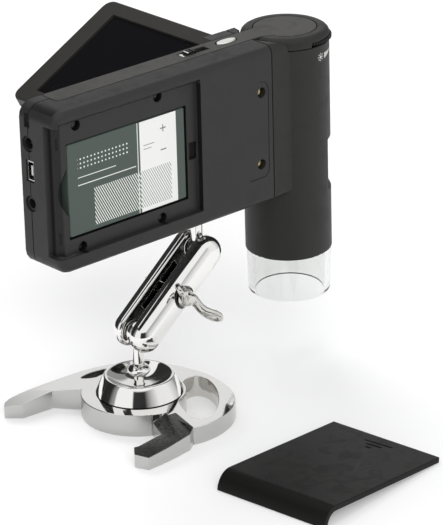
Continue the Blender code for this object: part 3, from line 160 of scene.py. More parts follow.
def newGroup(name, takes):
    # A group that gives a colour, a roughness and a normal.
    group = bpy.data.node_groups.new(name, "ShaderNodeTree")
    for label, kind, value in takes:
        socket = group.interface.new_socket(label, in_out="INPUT", socket_type=kind)
        socket.default_value = value
    for label, kind in (("Color", colour), ("Roughness", number), ("Normal", vector)):
        group.interface.new_socket(label, in_out="OUTPUT", socket_type=kind)
    given = group.nodes.new("NodeGroupInput").outputs
    return group, given, group.nodes.new("NodeGroupOutput")


# Fine spark texture of moulded plastic, with faint cloudiness and handling marks
def makeMouldedPlastic():
    group, given, out = newGroup(
        "mouldedPlastic",
        [("Base", colour, (0.05, 0.05, 0.05, 1)), ("Grain Scale", number, 2600.0),
         ("Grain Depth", number, 0.25), ("Roughness", number, 0.45),
         ("Patchiness", number, 0.06)])
    place = objectPlace(group)
    grain = noise(group, place, given["Grain Scale"], 2.0, Roughness=0.6)
    cloud = noise(group, place, 38.0, 4.0, Roughness=0.55)
    smear = noise(group, place, 150.0, 3.0, Distortion=1.2)
    lift = sums(group, "MULTIPLY_ADD", minus(group, cloud, 0.5), given["Patchiness"], 1.0)
    tone = sums(group, "MULTIPLY_ADD", minus(group, grain, 0.5), 0.10, lift)
    rough = sums(group, "MULTIPLY_ADD", between(group, smear, 0.45, 0.70), 0.07,
                 given["Roughness"])
    join(group, out, Color=toned(group, given["Base"], tone), Roughness=rough,
         Normal=bumped(group, grain, given["Grain Depth"], 0.00003))
    return group


# Polished plating: slow waves in the surface, faint wipe marks and a little haze
def makePolishedPlating():
    group, given, out = newGroup(
        "polishedPlating",
        [("Base", colour, (0.8, 0.8, 0.79, 1)), ("Wave Depth", number, 0.12),
         ("Roughness", number, 0.05), ("Haze", number, 0.06)])
    place = objectPlace(group)
    wave = noise(group, place, 90.0, 1.0)
    wipe = noise(group, place, 420.0, 4.0, Distortion=2.0)
    haze = noise(group, place, 60.0, 3.0)
    tone = sums(group, "MULTIPLY_ADD", haze, -0.08, 1.03)
    rough = sums(group, "MULTIPLY_ADD", between(group, wipe, 0.45, 0.75), given["Haze"],
                 given["Roughness"])
    join(group, out, Color=toned(group, given["Base"], tone), Roughness=rough,
         Normal=bumped(group, wave, given["Wave Depth"], 0.0004))
    return group


mouldedPlastic = makeMouldedPlastic()
polishedPlating = makePolishedPlating()


def newMaterial(name, **values):
    material = bpy.data.materials.new(name)
    material.use_nodes = True
    shader = material.node_tree.nodes["Principled BSDF"]
    for key, value in values.items():
        shader.inputs[key.replace("_", " ")].default_value = value
    return material, material.node_tree, shader


def groupIn(tree, shader, group, **values):
    node = tree.nodes.new("ShaderNodeGroup")
    node.node_tree = group
    for key, value in values.items():
        node.inputs[key.replace("_", " ")].default_value = value
    join(tree, shader, Base_Color=node.outputs["Color"], Roughness=node.outputs["Roughness"],
         Normal=node.outputs["Normal"])
    return node


finishes = {}


def plasticFinish(name, base, rough, grainScale=2600.0, grainDepth=0.25, patchiness=0.06,
                  **values):
    finishes[name], tree, shader = newMaterial(name, **{"Specular_IOR_Level": 0.3, **values})
    groupIn(tree, shader, mouldedPlastic, Base=(*base, 1), Roughness=rough,
            Grain_Scale=grainScale, Grain_Depth=grainDepth, Patchiness=patchiness)


def platedFinish(name, base, rough, waves=0.12, haze=0.06):
    finishes[name], tree, shader = newMaterial(name, Metallic=1.0)
    groupIn(tree, shader, polishedPlating, Base=(*base, 1), Roughness=rough, Wave_Depth=waves,
            Haze=haze)


plasticFinish("caseBlack", (0.022, 0.022, 0.0216), 0.47, patchiness=0.02)
# Painted shade: darker plastic for the deep faces of the battery's bay
plasticFinish("bayPaintedShade", (0.008, 0.008, 0.0085), 0.45, grainDepth=0.15)
plasticFinish("inlayGrey", (0.030, 0.029, 0.025), 0.44, grainDepth=0.12, patchiness=0.015)
plasticFinish("coverBlack", (0.0060, 0.0058, 0.0054), 0.42, grainDepth=0.30, patchiness=0.01,
              Specular_IOR_Level=0.15)
plasticFinish("screenBlack", (0.030, 0.029, 0.026), 0.36, grainDepth=0.10)
# Black for the inner parts, and painted dark reflection on the power knob
plasticFinish("innerBlackAndReflection", (0.012, 0.012, 0.012), 0.50)
plasticFinish("softRubber", (0.014, 0.014, 0.0135), 0.62, grainDepth=0.4)
plasticFinish("solderMask", (0.010, 0.075, 0.030), 0.35, grainScale=900.0,
              Specular_IOR_Level=0.5)
platedFinish("chrome", (0.86, 0.855, 0.84), 0.045)
platedFinish("chromeSatin", (0.53, 0.53, 0.52), 0.20, waves=0.15, haze=0.03)
platedFinish("wornChrome", (0.66, 0.65, 0.62), 0.07, waves=0.3, haze=0.08)
# Dark plating painted where shade and dark reflection fall: the base prong's step and the arm
# plates' inner faces
platedFinish("recessShadePaint", (0.10, 0.10, 0.098), 0.25, waves=0.8, haze=0.15)
platedFinish("silver", (0.90, 0.90, 0.86), 0.28, waves=0.05, haze=0.10)
platedFinish("steel", (0.56, 0.55, 0.53), 0.25, waves=0.05, haze=0.12)
platedFinish("darkSteel", (0.10, 0.10, 0.10), 0.35, waves=0.05, haze=0.10)
platedFinish("brass", (0.58, 0.46, 0.24), 0.25, waves=0.05, haze=0.12)
platedFinish("gold", (0.85, 0.62, 0.25), 0.22, waves=0.02, haze=0.05)
print("finishes made:", len(finishes))


# Clear moulding, with faint flow marks that bend what is behind it
def makeClear():
    material, tree, shader = newMaterial(
        "clearMoulding", Base_Color=(0.86, 0.87, 0.86, 1), Roughness=0.03, IOR=1.42,
        Transmission_Weight=1.0)
    flow = noise(tree, objectPlace(tree), 60.0, 1.0)
    join(tree, shader, Normal=bumped(tree, flow, 0.05, 0.0002),
         Roughness=between(tree, flow, 0.3, 0.7, 0.02, 0.06))
    return material


def makeLens():
    material, tree, shader = newMaterial(
        "coatedLens", Base_Color=(0.80, 0.86, 0.95, 1), Roughness=0.0, IOR=1.52,
        Transmission_Weight=1.0, Coat_Weight=0.6, Coat_Roughness=0.02)
    edge = wire(tree, "ShaderNodeLayerWeight", Blend=0.35).outputs["Facing"]
    join(tree, shader,
         Base_Color=blended(tree, edge, (0.88, 0.92, 0.98, 1), (0.42, 0.30, 0.62, 1)))
    return material


def makeScreenGlass():
    material, tree, shader = newMaterial(
        "screenGlass", Base_Color=(0.006, 0.006, 0.007, 1), Roughness=0.08,
        Specular_IOR_Level=0.35)
    smear = noise(tree, objectPlace(tree), 45.0, 4.0, Distortion=1.5)
    join(tree, shader, Roughness=between(tree, smear, 0.4, 0.75, 0.05, 0.13))
    return material


# Circuit board with its lamps below: solder mask, and white domes under the board's low face
ledBoard = {
    "lowFace": 48.5, "soft": 0.05, "mask": (0.010, 0.075, 0.030, 1),
    "dome": (0.86, 0.85, 0.78, 1), "core": (0.90, 0.74, 0.24, 1),
}


def makeLedBoard():
    material, tree, shader = newMaterial("ledBoard", Coat_Roughness=0.1)
    place = objectPlace(tree)
    height = wire(tree, "ShaderNodeSeparateXYZ", Vector=place).outputs["Z"]
    low = ledBoard["lowFace"]
    dome = between(tree, height, (low - ledBoard["soft"]) * mm, low * mm, 1.0, 0.0)
    core = between(tree, noise(tree, place, 700.0, 2.0), 0.5, 0.62)
    white = blended(tree, core, ledBoard["dome"], ledBoard["core"])
    join(tree, shader, Base_Color=blended(tree, dome, ledBoard["mask"], white),
         Roughness=sums(tree, "MULTIPLY_ADD", dome, -0.2, 0.38),
         Coat_Weight=times(tree, dome, 0.8))
    return material


# Printed label of the flat battery: a grey-green sleeve and a white panel, with lines, dots,
# a hatched field and signs. Each box is left, right, low and high.
label = {
    "panel": (-3, 13.7, 80.7, 114.1),
    "hatch": (-24.0, 11.0, 82.2, 96.0), "hatchPitch": 0.95, "hatchLean": 0.55,
    "hatchShare": 0.42, "hatchFaint": 0.7, "sleeveShade": 0.93,
    "dots": (-31.0, -8.0, 104.5, 109.0), "dotPitch": 1.6, "dotReach": 0.2,
    "rules": ((-31.0, -5.0, 98.4, 98.75), (-31.0, -14.0, 101.2, 101.5),
              (-4.15, -3.8, 80.7, 114.1)),
    "signs": ((6.4, 9.0, 109.2, 109.65), (7.47, 7.92, 108.1, 110.7), (6.4, 9.0, 101.3, 101.75),
              (-1.4, 3.6, 105.0, 105.25), (-1.4, 2.2, 103.6, 103.85)),
    "sleeve": (0.069, 0.092, 0.080, 1), "white": (0.88, 0.885, 0.87, 1),
    "ink": (0.80, 0.82, 0.79, 1), "darkInk": (0.16, 0.18, 0.16, 1),
}


def inside(tree, value, low, high, soft=0.06):
    # A soft-edged 1 between two places in millimetres, and 0 elsewhere.
    rise = between(tree, value, (low - soft) * mm, (low + soft) * mm)
    fall = between(tree, value, (high - soft) * mm, (high + soft) * mm, 1.0, 0.0)
    return times(tree, rise, fall)


def anyOf(tree, masks):
    total = masks[0]
    for mask in masks[1:]:
        total = sums(tree, "MAXIMUM", total, mask)
    return total


def makeLabel():
    material, tree, shader = newMaterial("batteryLabel", Specular_IOR_Level=0.3)
    b = label
    place = objectPlace(tree)
    parts = wire(tree, "ShaderNodeSeparateXYZ", Vector=place)
    across, rise = parts.outputs["X"], parts.outputs["Z"]

    def masked(box, soft=0.06):
        return times(tree, inside(tree, across, box[0], box[1], soft),
                     inside(tree, rise, box[2], box[3], soft))

    def fromDotMiddle(value):
        share = sums(tree, "FRACT", sums(tree, "DIVIDE", value, b["dotPitch"] * mm))
        return minus(tree, share, 0.5)

    panel = masked(b["panel"], 0.05)
    slanted = sums(tree, "MULTIPLY_ADD", rise, b["hatchLean"], across)
    wave = sums(tree, "FRACT", sums(tree, "DIVIDE", slanted, b["hatchPitch"] * mm))
    hatch = times(tree, sums(tree, "LESS_THAN", wave, b["hatchShare"]), masked(b["hatch"]))
    reach = lengthOf(tree, fromDotMiddle(across), fromDotMiddle(rise))
    dots = times(tree, sums(tree, "LESS_THAN", reach, b["dotReach"]), masked(b["dots"]))
    rules, signs = (anyOf(tree, [masked(box) for box in b[key]]) for key in ("rules", "signs"))
    pale = times(tree, anyOf(tree, [hatch, dots, rules]), minus(tree, 1.0, panel))
    faint = times(tree, hatch, b["hatchFaint"])
    dark = times(tree, anyOf(tree, [faint, signs]), panel)
    sheen = noise(tree, place, 70.0, 3.0)
    shaded = tuple(b["sleeveShade"] * c for c in b["sleeve"][:3]) + (1,)
    ground = blended(tree, sheen, shaded, b["sleeve"])
    ground = blended(tree, pale, ground, b["ink"])
    ground = blended(tree, panel, ground, b["white"])
    join(tree, shader, Base_Color=blended(tree, dark, ground, b["darkInk"]),
         Roughness=between(tree, sheen, 0.35, 0.7, 0.30, 0.42),
         Normal=bumped(tree, noise(tree, place, 260.0, 2.0), 0.1, 0.00005))
    return material


# Barrel plastic with a printed sun and wedge beside the brightness wheel. Turns about the
# barrel's axis are in degrees.
mark = {
    "axis": (75.32, 1.39), "radius": 16.0, "skin": 15.5,  # nothing is printed inside the skin
    "sun": (-79.8, 119.0), "sunDisc": 0.62, "sunRays": (0.95, 1.5), "rays": 8.0,
    "wedge": (-71.5, -48.5, 117.8, 120.0), "wedgeTip": 0.2,
    "base": (0.018, 0.018, 0.017, 1), "ink": (0.60, 0.60, 0.58, 1),
}


def makeBarrelPlastic():
    material, tree, shader = newMaterial("barrelBlack", Specular_IOR_Level=0.3)
    given = groupIn(tree, shader, mouldedPlastic, Base=mark["base"], Roughness=0.50)
    parts = wire(tree, "ShaderNodeSeparateXYZ", Vector=objectPlace(tree))
    awayX = minus(tree, parts.outputs["X"], mark["axis"][0] * mm)
    awayY = minus(tree, parts.outputs["Y"], mark["axis"][1] * mm)
    sunTurn, sunHeight = mark["sun"]
    angle = minus(tree, sums(tree, "ARCTAN2", awayY, awayX), radians(sunTurn))
    along = times(tree, angle, mark["radius"] * mm)  # round the barrel from the sun
    rise = minus(tree, parts.outputs["Z"], sunHeight * mm)
    reach = lengthOf(tree, along, rise)
    disc = inside(tree, reach, -1, mark["sunDisc"], 0.05)
    spokes = sums(tree, "GREATER_THAN", sums(tree, "COSINE", sums(
        tree, "MULTIPLY", sums(tree, "ARCTAN2", rise, along), mark["rays"])), 0.35)
    rays = times(tree, spokes, inside(tree, reach, *mark["sunRays"], 0.05))
    left, right, low, high = mark["wedge"]
    start, end = (radians(turn - sunTurn) * mark["radius"] for turn in (left, right))
    share = between(tree, along, start * mm, end * mm)
    share.node.interpolation_type = "LINEAR"
    base = sums(tree, "MULTIPLY_ADD", share, (high - low - mark["wedgeTip"]) * mm,
                (low - sunHeight) * mm)
    tall = times(tree, sums(tree, "GREATER_THAN", rise, base),
                 sums(tree, "LESS_THAN", rise, (high - sunHeight) * mm))
    wedge = times(tree, inside(tree, along, start, end), tall)
    outside = sums(tree, "GREATER_THAN", lengthOf(tree, awayX, awayY), mark["skin"] * mm)
    ink = times(tree, anyOf(tree, [disc, rays, wedge]), outside)
    join(tree, shader, Base_Color=blended(tree, ink, given.outputs["Color"], mark["ink"]))
    return material


finishes.update(clear=makeClear(), lens=makeLens(), screenGlass=makeScreenGlass(),
                ledBoard=makeLedBoard(), batteryLabel=makeLabel(),
                barrelBlack=makeBarrelPlastic())
print("clear and printed finishes made")


# Mesh helpers

def placed(name, shape):
    # A new object in the scene, with the mesh of a shape.
    mesh = bpy.data.meshes.new(name)
    shape.to_mesh(mesh)
    shape.free()
    made = bpy.data.objects.new(name, mesh)
    bpy.context.scene.collection.objects.link(made)
    return made


def newPiece(name, node, shape, finish, smooth=38):
    # A piece that stands for a node and rides its body.
    piece = placed(name, shape)
    mesh = piece.data
    for material in (finish if isinstance(finish, list) else [finish]):
        mesh.materials.append(finishes[material])
    mesh.shade_smooth()
    mesh.set_sharp_from_angle(angle=radians(smooth))
    even = piece.modifiers.new("evenShading", "WEIGHTED_NORMAL")
    even.keep_sharp = True
    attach(piece, bodyOf[node])
    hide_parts(node)
    return piece


def cadShape(node, flat=0.5):
    # A merged copy of a node's mesh, with its coplanar triangles run together.
    shape = bmesh.new()
    shape.from_mesh(nodes[node].data)
    bmesh.ops.remove_doubles(shape, verts=shape.verts, dist=sameCad)
    bmesh.ops.dissolve_limit(shape, angle_limit=radians(flat), verts=shape.verts,
                             edges=shape.edges)
    return shape


# How near a bevel's end another edge may be, in widths, if it is sharp or if it is not, and
# the cosine below which two edges run on in a line
bevelRoom = {"sharp": 2.3, "plain": 1.3, "straight": -0.8}


def openEdges(shape, width, angle):
    # The sharp edges with room for a bevel of this width at both ends.
    def sharp(edge):
        return len(edge.link_faces) == 2 and edge.calc_face_angle(0) > radians(angle)

    def room(edge, end):
        way = (edge.other_vert(end).co - end.co).normalized()
        others = [e for e in end.link_edges if e is not edge]
        sharpOnes = [e for e in others if sharp(e)]
        for other in others:
            along = other.other_vert(end).co - end.co
            straight = along.normalized().dot(way) < bevelRoom["straight"]
            if sharp(other):
                near = along.length < bevelRoom["sharp"] * width
                if near and (not straight or len(sharpOnes) > 2):
                    return False
            elif along.length < bevelRoom["plain"] * width:
                return False
        return True

    return [e for e in shape.edges if sharp(e) and all(room(e, end) for end in e.verts)]


def eased(shape, width, angle=30, segments=2):
    # Rounds the open edges of a shape by a width in millimetres.
    bmesh.ops.bevel(shape, geom=openEdges(shape, width * mm, angle), offset=width * mm,
                    offset_type="OFFSET", segments=segments, profile=0.5, affect="EDGES",
                    material=-1, clamp_overlap=False)
    return shape


def carved(shape, tools, operation="DIFFERENCE"):
    # Cuts closed shapes out of another, or joins them to it.
    made = [placed("carving", one) for one in (shape, *tools)]
    for tool in made[1:]:
        change = made[0].modifiers.new("cut", "BOOLEAN")
        change.object, change.operation, change.solver = tool, operation, "EXACT"
    bpy.context.view_layer.update()
    seen = made[0].evaluated_get(bpy.context.evaluated_depsgraph_get())
    mesh = bpy.data.meshes.new_from_object(seen)
    result = bmesh.new()
    result.from_mesh(mesh)
    for one in made:
        bpy.data.objects.remove(one, do_unlink=True)
    bpy.data.meshes.remove(mesh)
    bmesh.ops.remove_doubles(result, verts=result.verts, dist=samePoint)
    return result


def dressed(node, name, finish, edge, angle=30, segments=2, cuts=()):
    # A node's own shape with its edges eased and details cut, standing for the node.
    shape = eased(cadShape(node), edge, angle, segments)
    if cuts:
        shape = carved(shape, cuts)
    return newPiece(name, node, shape, finish)


def spunShape(profile, steps=96, at=(0, 0, 0), closed=False):
    # Turns a profile of (radius, height) round a vertical axis.
    shape = bmesh.new()
    line = [shape.verts.new((r * mm, 0, z * mm)) for r, z in profile]
    pairs = list(zip(line, line[1:])) + ([(line[-1], line[0])] if closed else [])
    edges = [shape.edges.new(pair) for pair in pairs]
    bmesh.ops.spin(shape, geom=line + edges, cent=(0, 0, 0), axis=(0, 0, 1), angle=2 * pi,
                   steps=steps, use_merge=True, use_duplicate=False)
    bmesh.ops.remove_doubles(shape, verts=shape.verts, dist=samePoint)
    bmesh.ops.recalc_face_normals(shape, faces=shape.faces)
    bmesh.ops.translate(shape, vec=Vector(at) * mm, verts=shape.verts)
    return shape


def boxShape(low, high):
    shape = bmesh.new()
    low, high = Vector(low) * mm, Vector(high) * mm
    bmesh.ops.create_cube(shape, size=1)
    bmesh.ops.scale(shape, vec=high - low, verts=shape.verts)
    bmesh.ops.translate(shape, vec=(low + high) / 2, verts=shape.verts)
    return shape


def barShape(radius, length, sides):
    shape = bmesh.new()
    bmesh.ops.create_cone(shape, cap_ends=True, segments=sides, radius1=radius * mm,
                          radius2=radius * mm, depth=length * mm)
    return shape


def loopShape(rings):
    # Joins rings of vertices into a closed shape, each ring in its own list of places.
    shape = bmesh.new()
    made = []
    for places in rings:
        ring = bmesh.ops.create_circle(shape, segments=len(places), radius=1)["verts"]
        for vert, place in zip(ring, places):
            vert.co = Vector(place) * mm
        made.append(ring)
    for first, second in zip(made, made[1:]):
        both = set(first) | set(second)
        sides = [e for e in shape.edges if e.verts[0] in both and e.verts[1] in both
                 and (e.verts[0] in first) == (e.verts[1] in first)]
        bmesh.ops.bridge_loops(shape, edges=sides)
    for ring in (made[0], made[-1]):
        bmesh.ops.contextual_create(shape, geom=ring)
    bmesh.ops.recalc_face_normals(shape, faces=shape.faces)
    return shape


def sweptShape(line, sizes, lift, sides, square):
    # A bar along a line of points, with a half width and half height at each. Its section is
    # an oval, or squarer where the power is under 1.
    def bulge(value):
        return copysign(abs(value) ** square, value)

    rings = []
    for i, point in enumerate(line):
        here = Vector(point)
        before, after = line[max(i - 1, 0)], line[min(i + 1, len(line) - 1)]
        way = (Vector(after) - Vector(before)).normalized()
        side = way.cross(Vector(lift)).normalized()
        wide, high = sizes[i]
        rings.append([here + side * wide * bulge(cos(2 * pi * k / sides))
                      + Vector(lift) * high * bulge(sin(2 * pi * k / sides))
                      for k in range(sides)])
    return loopShape(rings)


def moved(shape, matrix):
    bmesh.ops.transform(shape, matrix=matrix, verts=shape.verts)
    return shape


def rounded(profile, size, steps, keep):
    # Rounds the corners of a profile, but not those in keep.
    line = []
    for i, point in enumerate(profile):
        if i in keep:
            line.append(point)
            continue
        here = Vector(point)
        before = Vector(profile[i - 1])
        after = Vector(profile[(i + 1) % len(profile)])
        cut = min(size, (before - here).length * 0.45, (after - here).length * 0.45)
        start = here + (before - here).normalized() * cut
        end = here + (after - here).normalized() * cut
        for k in range(steps + 1):
            t = k / steps
            line.append(tuple(start * (1 - t) ** 2 + here * 2 * t * (1 - t) + end * t ** 2))
    return line


def middleOf(node):
    # The middle of a node's box and its two corners, in millimetres.
    low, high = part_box(node)
    return (low + high) / 2 / mm, low / mm, high / mm


print("helpers ready")


# Stand

stand = {
    "ball": 4.4, "lowerBall": 31.3, "neck": 2.2, "foot": 1.8,
    "baseHeight": 8.3, "coneFoot": 15.8, "coneRim": 12.7, "coneHeight": 15.0, "coneBulge": 0.35,
    "bowlDepth": 4.2, "bowlRim": 0.9, "gap": 0.3,
    "lip": ((-0.9, -0.05), (-0.45, 0.0), (-0.05, -0.12)),  # from the cone's rim
    "bead": (16.5, 4.2, 2.4), "beadNeck": 1.0,
    "upperNeck": 13.54, "neckChamfer": (0.2, 0.6), "thread": 2.6,
}


def ballLine(radius, height, start, end, steps=20):
    turns = [start + (end - start) * i / steps for i in range(steps + 1)]
    return [(max(radius * cos(t), 0), height + radius * sin(t)) for t in turns]


def makeCone():
    s = stand
    low, rim, foot = s["baseHeight"] + s["gap"], s["coneHeight"], s["foot"] + s["gap"]
    floor, bowlRim = rim - s["bowlDepth"], s["coneRim"] - s["bowlRim"]
    wall = [(s["coneFoot"] + (s["coneRim"] - s["coneFoot"]) * t,
             low + (rim - low) * t + s["coneBulge"] * sin(pi * t))
            for t in (0, 0.25, 0.5, 0.75, 0.94)]
    bowl = [(foot + (bowlRim - foot) * t, floor + s["bowlDepth"] * t * t)
            for t in (0, 0.15, 0.3, 0.45, 0.6, 0.75, 0.88, 0.97)]
    lip = [(s["coneRim"] + out, rim + up) for out, up in s["lip"]]
    profile = wall[::-1] + [(foot, low)] + bowl + lip
    shape = spunShape(profile[::-1], 128, closed=True)
    newPiece("standCone", "base_cone", shape, "chrome", 50)


def makeLowerStud():
    s = stand
    beadAt, beadWide, beadHigh = s["bead"]
    profile = ballLine(s["ball"], s["lowerBall"], pi / 2, -acos(s["neck"] / s["ball"]))
    top, low = acos(s["neck"] / beadWide), -acos(s["foot"] / beadWide)
    profile += [(s["neck"], beadAt + beadHigh + s["beadNeck"])]
    turns = [top + (low - top) * i / 14 for i in range(15)]
    profile += [(beadWide * cos(t), beadAt + beadHigh * sin(t)) for t in turns]
    profile += [(s["foot"], s["baseHeight"]), (0, s["baseHeight"])]
    newPiece("lowerBallStud", "lower_ball_stud", spunShape(profile, 64), "chrome",
             50)


def makeUpperStud():
    s = stand
    middle, low, high = middleOf("upper_ball_stud")
    centre = low.z + s["ball"]
    top, bottom = (centre + s["upperNeck"] - down for down in s["neckChamfer"])
    profile = [(0, high.z), (s["thread"], high.z), (s["thread"], top), (s["neck"], bottom)]
    profile += ballLine(s["ball"], centre, acos(s["neck"] / s["ball"]), -pi / 2)
    shape = spunShape(profile, 64, (middle.x, middle.y, 0))
    newPiece("upperBallStud", "upper_ball_stud", shape, "chrome", 50)


base = {
    "eyelet": (11.985, -18.283), "eyeletHalf": (17.0, 7.3), "eyeletTurn": 51,
    "eyeletReach": 1.2, "wallTop": 8.2,
    "prong": (-5.0, -19.0, 7.8),  # its step top, painted dark as reflection, is left of, in front of and below these
    "tips": (37.0, 3.0, 25),      # upright edges further out, taller and sharper than this
    "tipRound": 0.6, "edge": 0.28,
}


def makeBase():
    b = base
    shape = cadShape("base_plate", 1.0)
    out, tall, sharp = b["tips"]
    tips = [e for e in shape.edges if len(e.link_faces) == 2 and e.is_convex
            and abs((e.verts[0].co - e.verts[1].co).normalized().z) > 0.95
            and e.calc_length() > tall * mm and e.calc_face_angle(0) > radians(sharp)
            and e.verts[0].co.xy.length > out * mm]
    bmesh.ops.bevel(shape, geom=tips, offset=b["tipRound"] * mm, offset_type="OFFSET",
                    segments=5, profile=0.5, affect="EDGES", material=-1, clamp_overlap=True)
    eased(shape, b["edge"], 35, 3)
    looks = ["chrome", "chromeSatin", "recessShadePaint", "wornChrome"]
    piece = newPiece("standBase", "base_plate", shape, looks)
    turn = Matrix.Rotation(radians(-b["eyeletTurn"]), 2)
    for face in piece.data.polygons:
        middle, up = face.center / mm, face.normal.z
        away = turn @ (middle.xy - Vector(b["eyelet"]))
        reach = (away.x / b["eyeletHalf"][0]) ** 2 + (away.y / b["eyeletHalf"][1]) ** 2
        if abs(up) < 0.3 and middle.z < b["wallTop"]:
            face.material_index = 3 if reach < b["eyeletReach"] else 1
        # The prong step's top gets painted dark reflection
        elif up > 0.6 and all(at < end for at, end in zip(middle, b["prong"])):
            face.material_index = 2


arm = {
    "span": 37.6, "angle": 39, "low": (0, 0, 31.3), "halfWidth": 6.25, "end": 6.2,
    "inner": 2.6, "outer": 9.4, "crown": (5.3, 5.0), "lips": (0.9, 1.5), "edge": 0.12,
    "channel": (0.7, 3.4, 2.6, 8.5),
    "bore": 1.9, "washerRecess": (4.3, 1.6), "nutPocket": (4.6, 3.6), "gap": 0.3,
    # Faces painted dark as shade between the plates are this near the arm's middle in depth and
    # in width, and this far from a ball's centre
    "shadeFaces": (5.25, 5.3, 5.2),
}


def plateRing(inset, depth, steps=24):
    # One loop of a plate's rim, at an inset from its edge and a depth from the arm's middle.
    radius = arm["halfWidth"] - inset
    left, right = arm["halfWidth"] - arm["end"], arm["span"] + arm["end"] - arm["halfWidth"]
    turns = [-pi / 2 + pi * i / steps for i in range(steps + 1)]
    loop = [(right + radius * cos(t), depth, radius * sin(t)) for t in turns]
    return loop + [(left - radius * cos(t), depth, -radius * sin(t)) for t in turns]


def plateShape(side):
    # One plate lying along X: a small round on its inner edge and a large one on its outer.
    a = arm
    wide, deep = a["crown"]
    lip = a["lips"][side > 0]
    rings = []
    for i in range(6):
        t = pi / 2 * i / 5
        rings.append(plateRing(lip * (1 - sin(t)), side * (a["inner"] + lip * (1 - cos(t)))))
    for i in range(11):
        t = pi / 2 * i / 10
        rings.append(plateRing(wide * (1 - cos(t)), side * (a["outer"] - deep + deep * sin(t))))
    shape = loopShape(rings)
    tools = []
    for x in (0, a["span"]):
        socket = bmesh.new()
        bmesh.ops.create_uvsphere(socket, u_segments=48, v_segments=24,
                                  radius=(stand["ball"] + a["gap"]) * mm)
        tools.append(moved(socket, Matrix.Translation((x * mm, 0, 0))))
    low, high, deepCut, space = a["channel"]
    for across in (-1, 1):
        zs = sorted((across * low, across * high))
        ys = sorted((0, side * (a["inner"] + deepCut)))
        tools.append(boxShape((space, ys[0], zs[0]), (a["span"] - space, ys[1], zs[1])))
    middle, past = a["span"] / 2, a["outer"] + 1
    sides, (wide, deep) = (48, a["washerRecess"]) if side < 0 else (6, a["nutPocket"])
    holes = ((a["bore"] + a["gap"], 0, 32), (wide, a["outer"] - deep, sides))
    for radius, start, count in holes:
        hole = barShape(radius, past - start, count)
        place = Vector((middle, side * (past + start) / 2, 0)) * mm
        tools.append(moved(hole, Matrix.Translation(place) @ Matrix.Rotation(pi / 2, 4, "X")))
    return carved(shape, tools)


def makeArm():
    depth, width, reach = arm["shadeFaces"]
    tilt = Matrix.Rotation(radians(-arm["angle"]), 4, "Y")
    there = Matrix.Translation(Vector(arm["low"]) * mm) @ tilt
    back = there.inverted()
    for side, node, name in ((-1, "arm_plate_near", "armPlateNear"),
                             (1, "arm_plate_far", "armPlateFar")):
        shape = eased(moved(plateShape(side), there), arm["edge"], 40)
        piece = newPiece(name, node, shape, ["chrome", "recessShadePaint"])
        for face in piece.data.polygons:
            place, way = back @ face.center / mm, back.to_3x3() @ face.normal
            balls = min(Vector((place.x - x, place.z)).length for x in (0, arm["span"]))
            # The inner faces between the plates get painted shade
            if (abs(place.y) < depth and abs(place.z) < width and balls > reach
                    and max(abs(way.y), abs(way.z)) > 0.98):
                face.material_index = 1
    dressed("clamp_washer", "clampWasher", "darkSteel", 0.12, 40)
    dressed("clamp_nut", "clampNut", "chrome", 0.2, 20)


wing = {
    # Where the screw's seat lies along Y, and the middle of the clamp in the frame
    "seat": -9.4, "middle": (14.6104, 0, 43.1312),
    # (radius, depth below the seat) of the collar and hub, and (radius, Y end) of the shank
    "hub": ((0, 0), (3.1, 0), (3.4, 0.3), (3.4, 0.9), (3.05, 1.3), (2.9, 1.5), (2.2, 3.2),
            (1.7, 4.25), (0, 4.4)),
    "shank": (1.9, 9.1), "chamfer": 0.3, "overlap": 1.0,
    # Middle line of one wing (outwards, away from the plate, up), then half sizes across and
    # through
    "line": ((0.6, 2.2, 0.9), (2.2, 2.5, 0.7), (3.8, 3.1, 0.1), (5.4, 4.1, -0.7),
             (7.0, 5.2, -1.1), (8.6, 6.2, -1.1), (10.2, 7.0, -0.9), (11.6, 7.6, -0.8),
             (12.6, 8.0, -0.9), (13.3, 8.25, -1.0), (13.65, 8.4, -1.1)),
    "sizes": ((2.0, 1.6), (1.9, 1.55), (1.75, 1.5), (1.7, 1.5), (1.9, 1.5), (2.4, 1.45),
              (2.75, 1.4), (2.7, 1.3), (2.2, 1.1), (1.4, 0.8), (0.6, 0.4)),
    "cant": 32, "square": 0.75,
    "eye": (10.4, 7.1, -0.9), "eyeWay": (0.88, 0.47), "eyeHalf": (2.2, 1.3), "edge": 0.15,
}


def makeWingScrew():
    w = wing
    seat, (radius, end), chamfer = w["seat"], w["shank"], w["chamfer"]
    hub = [(out, seat - down) for out, down in w["hub"]]
    shank = [(0, end), (radius - chamfer, end), (radius, end - chamfer),
             (radius, seat - w["overlap"]), (0, seat - w["overlap"])]
    upright = Matrix.Rotation(-pi / 2, 4, "X")  # turned pieces lie along Y
    body = moved(spunShape(hub, 64), upright)
    way = Vector((w["eyeWay"][0], -w["eyeWay"][1], 0))
    across = way.cross(Vector((0, 0, 1)))
    cant = radians(w["cant"])
    through = Vector((0, 0, cos(cant))) - across * sin(cant)
    line = [(out, seat - away, up) for out, away, up in w["line"]]
    out, away, up = w["eye"]
    place = Vector((out, seat - away, up)) * mm
    turn = Matrix((way, through.cross(way), through)).transposed().to_4x4()
    eyePlace = Matrix.Translation(place) @ turn @ Matrix.Diagonal((*w["eyeHalf"], 1, 1))
    wings = [moved(spunShape(shank, 32), upright)]
    eyes = []
    for half in (0, pi):
        about = Matrix.Rotation(half, 4, "Y")
        wings.append(moved(sweptShape(line, w["sizes"], through, 28, w["square"]), about))
        eyes.append(moved(barShape(1, 6, 40), about @ eyePlace))
    shape = eased(carved(carved(body, wings, "UNION"), eyes), w["edge"], 50)
    middle = Matrix.Translation(Vector(w["middle"]) * mm)
    shape = moved(shape, middle @ Matrix.Rotation(radians(arm["angle"]), 4, "Y"))
    newPiece("wingScrew", "wing_screw", shape, "wornChrome", 50)


makeBase()
makeCone()
makeLowerStud()
makeUpperStud()
makeArm()
makeWingScrew()
print("stand made")


# Handset shell

